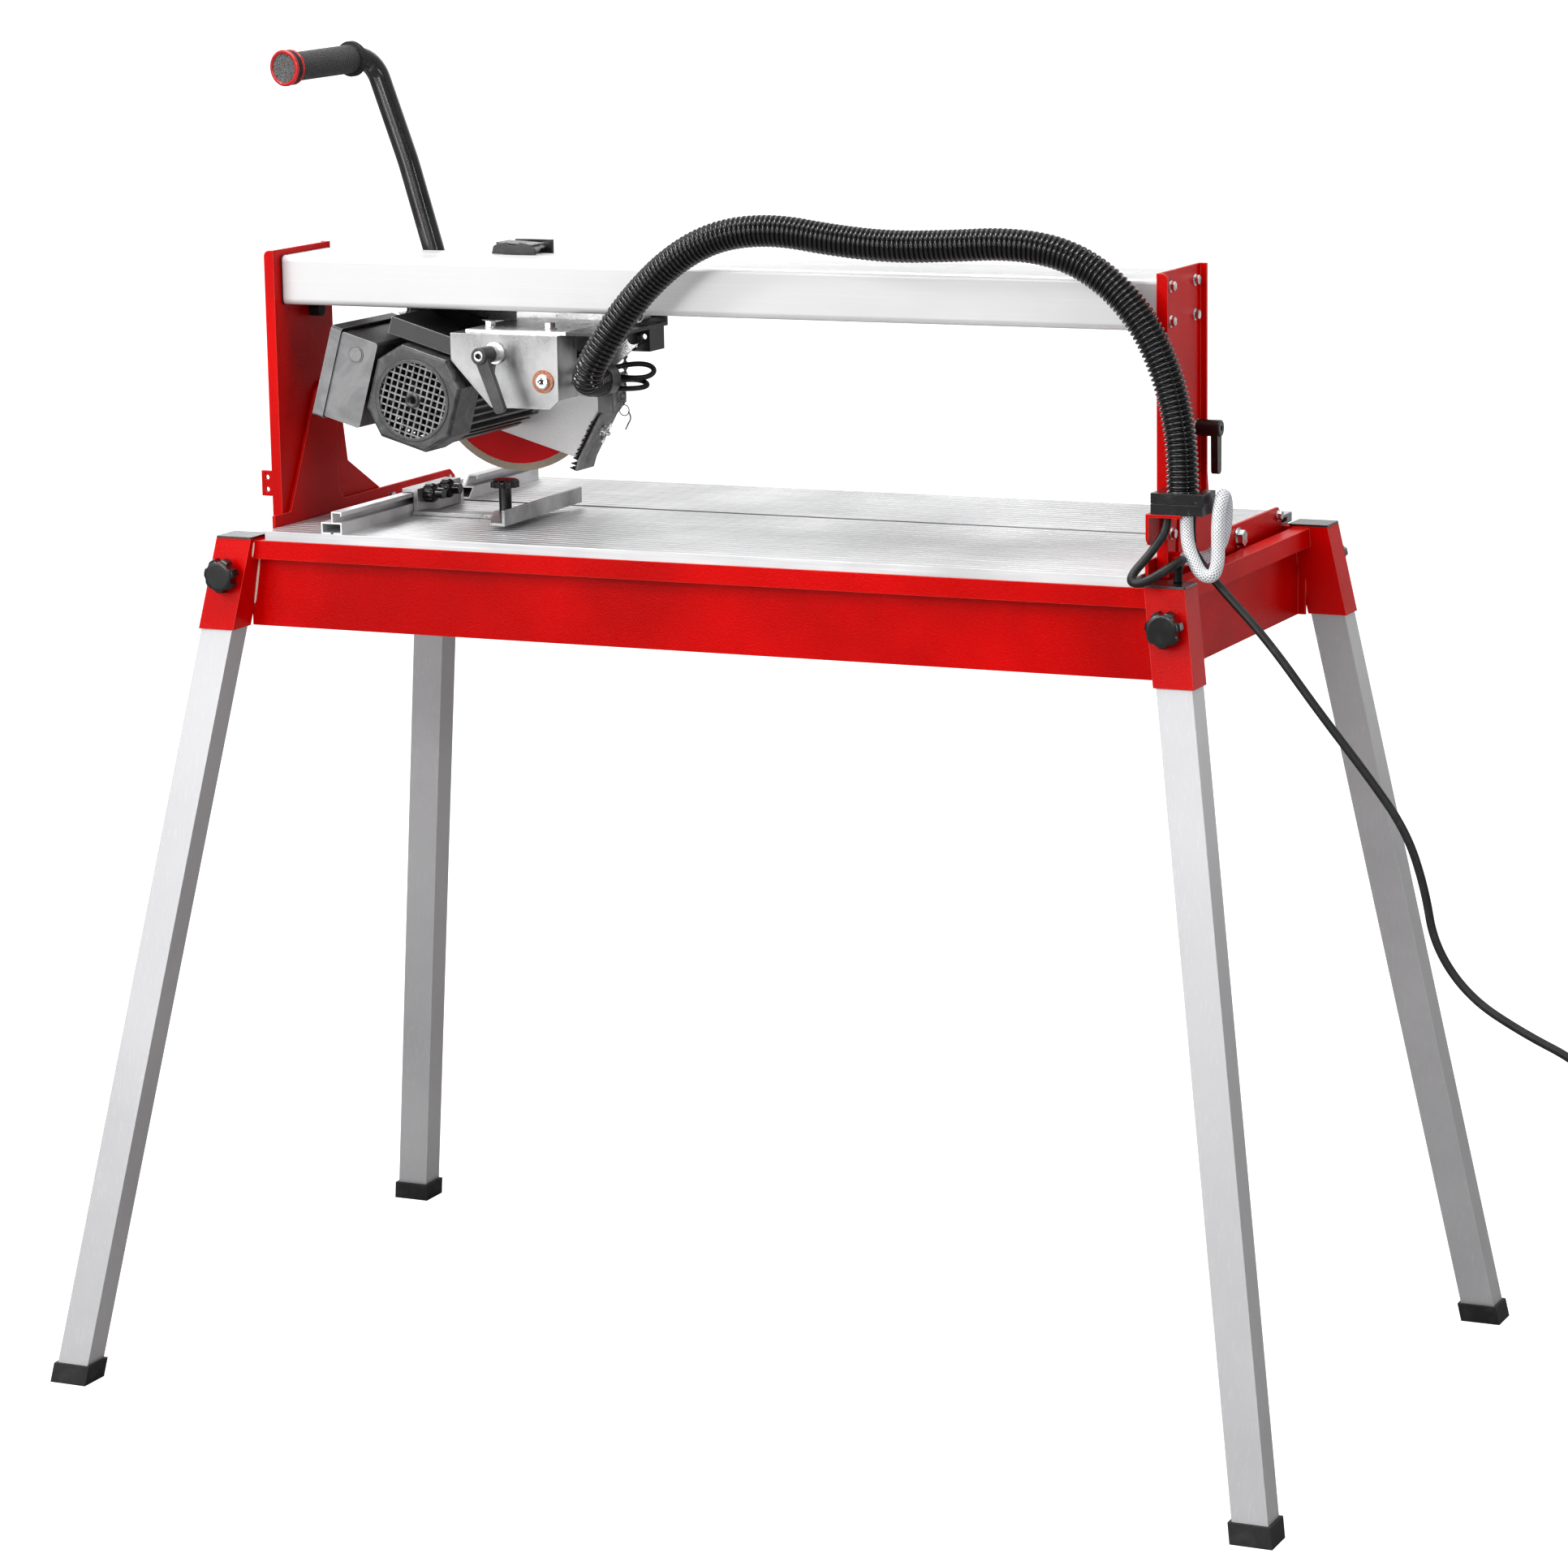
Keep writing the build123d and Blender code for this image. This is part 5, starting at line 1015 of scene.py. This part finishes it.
def makeRollerGuard():
    left, right, front, back, low, high = (
        rollerGuard[key] for key in ("left", "right", "front", "back", "low", "high"))
    side = [(left, low), (left + 2, high - 4), (left + 8, high - 1), (left + 17, high),
            (left + 20, high - 3), (right - 22, high - 3), (right - 18, high), (right - 8, high - 1.5),
            (right - 1, high - 6), (right, low)]
    face = slab(metres(*((x, front, z) for x, z in side)), -rollerGuard["sheet"] * mm)
    corners = metres((left + 4, front, high - 2), (right - 4, front, high - 4),
                     (right - 4, back, high - 4), (left + 4, back, high - 2))
    lid = slab(corners, rollerGuard["lid"] * mm)
    piece = newPiece("rollerGuard", merged(face, lid), "nylon", "black_plastic", "carriage", smooth=False)
    softenEdges(piece, 0.5 * mm)
    for number, x in enumerate((left + 12, right - 12)):
        seat = Vector((x, front, high - 6)) * mm
        newPiece("guardScrew%d" % (number + 1), lathe(rollerGuard["screw"], seat, (0, -1, 0), 24), "bolt",
                 "fastener_steel", "carriage")


makeRollerGuard()

splashBrush = {  # in the leaning head's axes; the plate's blade side is given as (height, distance along)
    "plate": [(38, 109.5), (8, 118), (-8, 111), (-58, 99.5), (-70, 99)],
    "rows": 11, "first": -14, "last": -68, "teeth": 13, "near": 27.5, "width": 37, "reach": 6.5,
    "root": (1.3, 1.7), "tip": (0.5, 0.5), "backing": (26.4, 65.6), "backingHeights": (-10, -40, -70),
    "backingThickness": 1.6,
}


def plateLine(up):
    line = splashBrush["plate"]
    for (high, a), (low, b) in zip(line, line[1:]):
        if low <= up <= high:
            return b + (a - b) * (up - low) / (high - low)


def makeSplashBrush():
    random.seed(7)
    brush = splashBrush
    square = ((-1, 1), (1, 1), (1, -1), (-1, -1))
    parts = []
    for row in range(brush["rows"]):
        up = brush["first"] + (brush["last"] - brush["first"]) * row / (brush["rows"] - 1)
        base = plateLine(up) - 0.2
        for tooth in range(brush["teeth"]):
            across = brush["near"] + brush["width"] * tooth / (brush["teeth"] - 1)
            reach = brush["reach"] + random.uniform(-0.7, 0.7)
            droop = random.uniform(-1.6, -0.4)
            corners = [(base, across + brush["root"][0] * a, up + brush["root"][1] * b) for a, b in square]
            corners += [(base - reach, across + brush["tip"][0] * a, up + brush["tip"][1] * b + droop)
                        for a, b in square]
            faces = [(3, 2, 1, 0), (4, 5, 6, 7)]
            faces += [(i, (i + 1) % 4, (i + 1) % 4 + 4, i + 4) for i in range(4)]
            parts.append(([headPoint(*corner) for corner in corners], faces))
    newPiece("splashBrush", merged(*parts), "rubber", "black_rubber", "head", smooth=False)
    near, far = ([headPoint(plateLine(up) - 0.1, across, up) for up in brush["backingHeights"]]
                 for across in brush["backing"])
    front = near + far[::-1]
    shift = headPoint(-brush["backingThickness"], 0, 0) - headPoint(0, 0, 0)
    points = front + [corner + shift for corner in front]
    faces = [(0, 1, 4, 5), (1, 2, 3, 4), (11, 10, 7, 6), (10, 9, 8, 7)]
    faces += [(i, (i + 1) % 6, (i + 1) % 6 + 6, i + 6) for i in range(6)]
    newPiece("brushBacking", (points, faces), "rubber", "black_rubber", "head", smooth=False)


makeSplashBrush()


wingBolt = {  # its outlines are (distance out from the seat, radius)
    "across": 46, "up": -24, "wingThickness": 1.6,
    "profile": [(0, 6.2), (1.2, 6.2), (1.3, 4.2), (5.2, 3.6), (5.4, 2.4), (9.6, 2.4), (10.0, 1.9)],
    "wing": [(1.6, 2.5), (5.0, 2.2), (8.5, 8.0), (8.0, 11.5), (5.4, 11.8), (3.4, 8.6)],
}


def makeWingBolt():
    # washer, nut with two wings and the stud's end, outside the splash plate
    seat = headPoint(plateLine(wingBolt["up"]) + 2.1, wingBolt["across"], wingBolt["up"])
    out = (headPoint(1, 0, -0.23) - headPoint(0, 0, 0)).normalized()
    parts = [lathe(wingBolt["profile"], seat, out, 28)]
    up = out.cross(Vector((0, 1, 0))).normalized()
    thick = wingBolt["wingThickness"] * mm
    for side in (1, -1):
        corners = [seat + out * a * mm + up * side * r * mm + Vector((0, -thick / 2, 0))
                   for a, r in wingBolt["wing"]]
        parts.append(slab(corners[::side], thick))
    newPiece("wingBolt", merged(*parts), "bolt", "fastener_steel", "head", smooth=False)


makeWingBolt()

retainingChain = {  # the split pin's places are measured from its ring
    "top": (-125, -86.5, 1057), "links": 11, "pitch": 5.2, "wire": 1.5, "wide": 5.0, "long": 7.6,
    "pin": [(4.5, 0, -1), (7, -1, -4), (8, -2, -9), (5.5, -3, -13), (3, -4, -19)],
}


def makeChain():
    parts = []
    x, y, z = retainingChain["top"]
    for number in range(retainingChain["links"]):
        sway = 1.4 * math.sin(number * 0.5)
        middle = Vector((x + sway, y - 0.15 * number, z - retainingChain["pitch"] * number)) * mm
        flat = (1, 0.2, 0) if number % 2 else (0.2, -1, 0)
        sizes = (retainingChain[key] * mm for key in ("long", "wide", "wire"))
        parts.append(ovalLink(middle, (0.1 * math.cos(number), 0, -1), flat, *sizes))
    newPiece("retainingChain", merged(*parts), "chain", "fastener_steel", "carriage")
    low = Vector((x, y - 2, z - retainingChain["pitch"] * retainingChain["links"] - 3.5)) * mm
    ring = ovalLink(low, (0, 0, -1), (1, 0, 0), 11 * mm, 10.9 * mm, 1.1 * mm)
    pin = [low + offset for offset in metres(*retainingChain["pin"])]
    leg = tube(evenly(smoothRoute("pinLine", pin), 1 * mm)[0], lambda travelled: 0.8 * mm, 10)
    newPiece("splitPin", merged(ring, leg), "chain", "fastener_steel", "carriage")


makeChain()

lidScrews = {  # pan heads with a dimple; places are across and up in the leaning head's axes
    "places": [(-172, 38), (-172, -44), (-56, 38), (-56, -44)],
    "profile": [(-0.4, 3.2), (0.1, 3.2), (1.19, 2.752), (1.7, 1.6), (1.7, 0.9), (0.68, 0.5)],
}
outward = headPoint(-1, 0, 0) - headPoint(0, 0, 0)
for number, place in enumerate(lidScrews["places"]):
    screw = lathe(lidScrews["profile"], headPoint(-108, *place), outward, 28)
    newPiece("lidScrew%d" % (number + 1), screw, "bolt", "fastener_steel", "head")

frontRings = {  # name: profile, seat, steps, finish, slot, body
    "leverScrewRim": (
        [(0, 2.7), (0, 5.4), (0.8, 5.4), (1.1, 5.0), (1.1, 3.0), (0.8, 2.7)],
        Vector((-225.06, -208.4, 1060.0)) * mm, 32, "bolt", "fastener_steel", "plunge_lever"),
    "meshCentreRing": (
        [(0, 4.2), (0.9, 4.2), (1.3, 5.0), (1.3, 7.0), (0.9, 7.8), (0, 7.8)],
        headPoint(0, -180.0, 0), 40, "fanRing", "cover_plastic", "head"),
    "knockOutRing": (
        [(0, 8.6), (0.7, 8.4), (0.7, 7.6), (0, 7.4)],
        headPoint(-75, -176.1, 24), 48, "box", "cover_plastic", "head"),
}
for name, (profile, seat, steps, *worn) in frontRings.items():
    newPiece(name, lathe(profile, seat, (0, -1, 0), steps, closed=True), *worn)


def makeLidRibs():
    # three ridges that step down the lid's button panel
    corners = ((-166, -1.2), (-60, -1.2), (-60, 1.2), (-166, 1.2))
    parts = [slab([headPoint(-108.2, across, up + lift) for across, lift in corners], -1.5 * mm)
             for up in (-36, -41, 40)]
    piece = newPiece("lidRibs", merged(*parts), "box", "cover_plastic", "head", smooth=False)
    softenEdges(piece, 0.5 * mm)


makeLidRibs()

weldBeads = {  # at the leg sockets; the seams are those of the rear right corner
    "radius": 1.7, "ripple": 0.35, "spacing": 2.2, "shake": 0.08,
    "seams": [((484.0, 220.3, 864.5), (486.6, 220.3, 848.5)),
              ((486.6, 205.4, 846.0), (494.2, 205.4, 798.0))],
}


def makeWelds():
    random.seed(11)
    shake = weldBeads["shake"] * mm
    for number, (sideX, sideY) in enumerate(((-1, -1), (1, -1), (-1, 1), (1, 1))):
        parts = []
        for seam in weldBeads["seams"]:
            path, length = evenly(metres(*((x * sideX, y * sideY, z) for x, y, z in seam)), 0.5 * mm)
            path = [place + Vector((random.uniform(-1, 1), random.uniform(-1, 1), 0)) * shake
                    for place in path]

            def bead(travelled):
                swell = math.sin(math.pi * min(1, max(0, travelled / length))) ** 0.2
                turn = 2 * math.pi * travelled / (weldBeads["spacing"] * mm)
                return (weldBeads["radius"] * swell + weldBeads["ripple"] * math.cos(turn) + 0.05) * mm

            parts.append(tube(path, bead, 14))
        newPiece("weldBead%d" % (number + 1), merged(*parts), "weld", "red_paint", "base")


makeWelds()
shapeCount = len([item for item in bpy.context.scene.objects if item.type == "MESH"])
print("pieces made:", shapeCount - len(nodes))

studio = {
    "paper": 0.29, "paperLight": 0.31, "glow": 0.86, "matt": 0.24,
    "ambient": 0.32, "front": 0.82, "ceiling": 0.75, "rear": 0.45, "sky": 0.96,
    "lamps": [  # name, place, aim, size, power
        ("lowLeftPanel", (-2.1, -3.3, 0.8), (-0.3, 0, 0.85), (1.0, 0.8), 5),
        ("keyPanel", (-2.4, -2.6, 3.0), (0, 0, 0.9), (0.8, 0.6), 34),
        ("frontStrip", (0.2, -3.6, 2.3), (0.1, 0, 0.9), (1.6, 0.22), 14),
        ("tallLeftStrip", (-1.6, -3.9, 1.9), (0, 0, 1.0), (0.3, 2.2), 21),
        ("tallRightStrip", (3.5, -2.0, 1.8), (0.4, 0, 1.0), (0.3, 2.0), 19),
        ("topPanel", (-0.2, -0.5, 3.0), (0, 0, 0.9), (1.6, 0.5), 22),
        ("rightPanel", (2.3, 2.7, 0.9), (0.4, 0, 0.8), (0.9, 0.9), 5),
        ("backPanel", (-2.2, 2.4, 2.4), (0, 0, 1.0), (0.8, 1.0), 11)],
}


def makeStudio():
    mesh = bpy.data.meshes.new("studioFloor")
    corners = [(x * 60, y * 60, 0) for x, y in ((-1, -1), (1, -1), (1, 1), (-1, 1))]
    mesh.from_pydata(corners, [], [(0, 1, 2, 3)])
    floor = bpy.data.objects.new("studioFloor", mesh)
    bpy.context.scene.collection.objects.link(floor)
    # the paper glows for the lens and a little for matt surfaces, so glossy parts keep their depth
    finish = newFinish("studioPaper")
    seen = finish.once("LightPath", "Is Camera Ray")
    matt = finish.once("LightPath", "Is Diffuse Ray")
    paper = finish.blend(studio["paper"], studio["paperLight"], finish.grain(0.4))
    mesh.materials.append(finish.close({
        "Base Color": paper, "Roughness": 0.9, "Specular IOR Level": 0.0,
        "Emission Strength": studio["glow"],
        "Emission Color": finish.blend(0, 1, seen + studio["matt"] * matt)}))

    room = Finish(bpy.data.worlds.new("studioRoom"))
    way = room.once("TexCoord", "Generated")
    height = room.axis("z", way)
    turn = room.maths("ARCTAN2", room.axis("y", way), room.axis("x", way))
    front = room.fade(room.maths("ABSOLUTE", turn + 2.0), 1.0, 0.75)
    front = front * room.fade(height, 0.0, 0.08) * room.fade(height, 0.66, 0.5)
    rear = room.fade(room.maths("ABSOLUTE", turn - 1.85), 0.9, 0.5)
    rear = rear * room.fade(height, 0.02, 0.1) * room.fade(height, 0.6, 0.4)
    ceiling = room.fade(height, 0.6, 0.8)
    gap = room.fade(room.maths("ABSOLUTE", turn + 0.45), 0.5, 0.3)
    gap = gap * room.fade(height, 0.75, 0.6)
    light = studio["ambient"] * (1 - 0.9 * gap) + studio["front"] * front
    light = light + studio["ceiling"] * ceiling + studio["rear"] * rear
    light = light + (studio["sky"] - light) * room.once("LightPath", "Is Camera Ray")
    shader = room.add("Background", None, {"Color": light, "Strength": 1.0})
    room.add("OutputWorld", None, {"Surface": shader})
    bpy.context.scene.world = room.owner

    for name, place, target, size, power in studio["lamps"]:
        lamp = bpy.data.lights.new(name, "AREA")
        lamp.shape = "RECTANGLE"
        lamp.size, lamp.size_y = size
        lamp.energy = power
        holder = bpy.data.objects.new(name, lamp)
        bpy.context.scene.collection.objects.link(holder)
        holder.location = place
        holder.rotation_euler = (Vector(target) - Vector(place)).to_track_quat("-Z", "Y").to_euler()
    view = bpy.context.scene.view_settings
    view.view_transform, view.look = "Standard", "Medium High Contrast"


makeStudio()
print("studio lit")
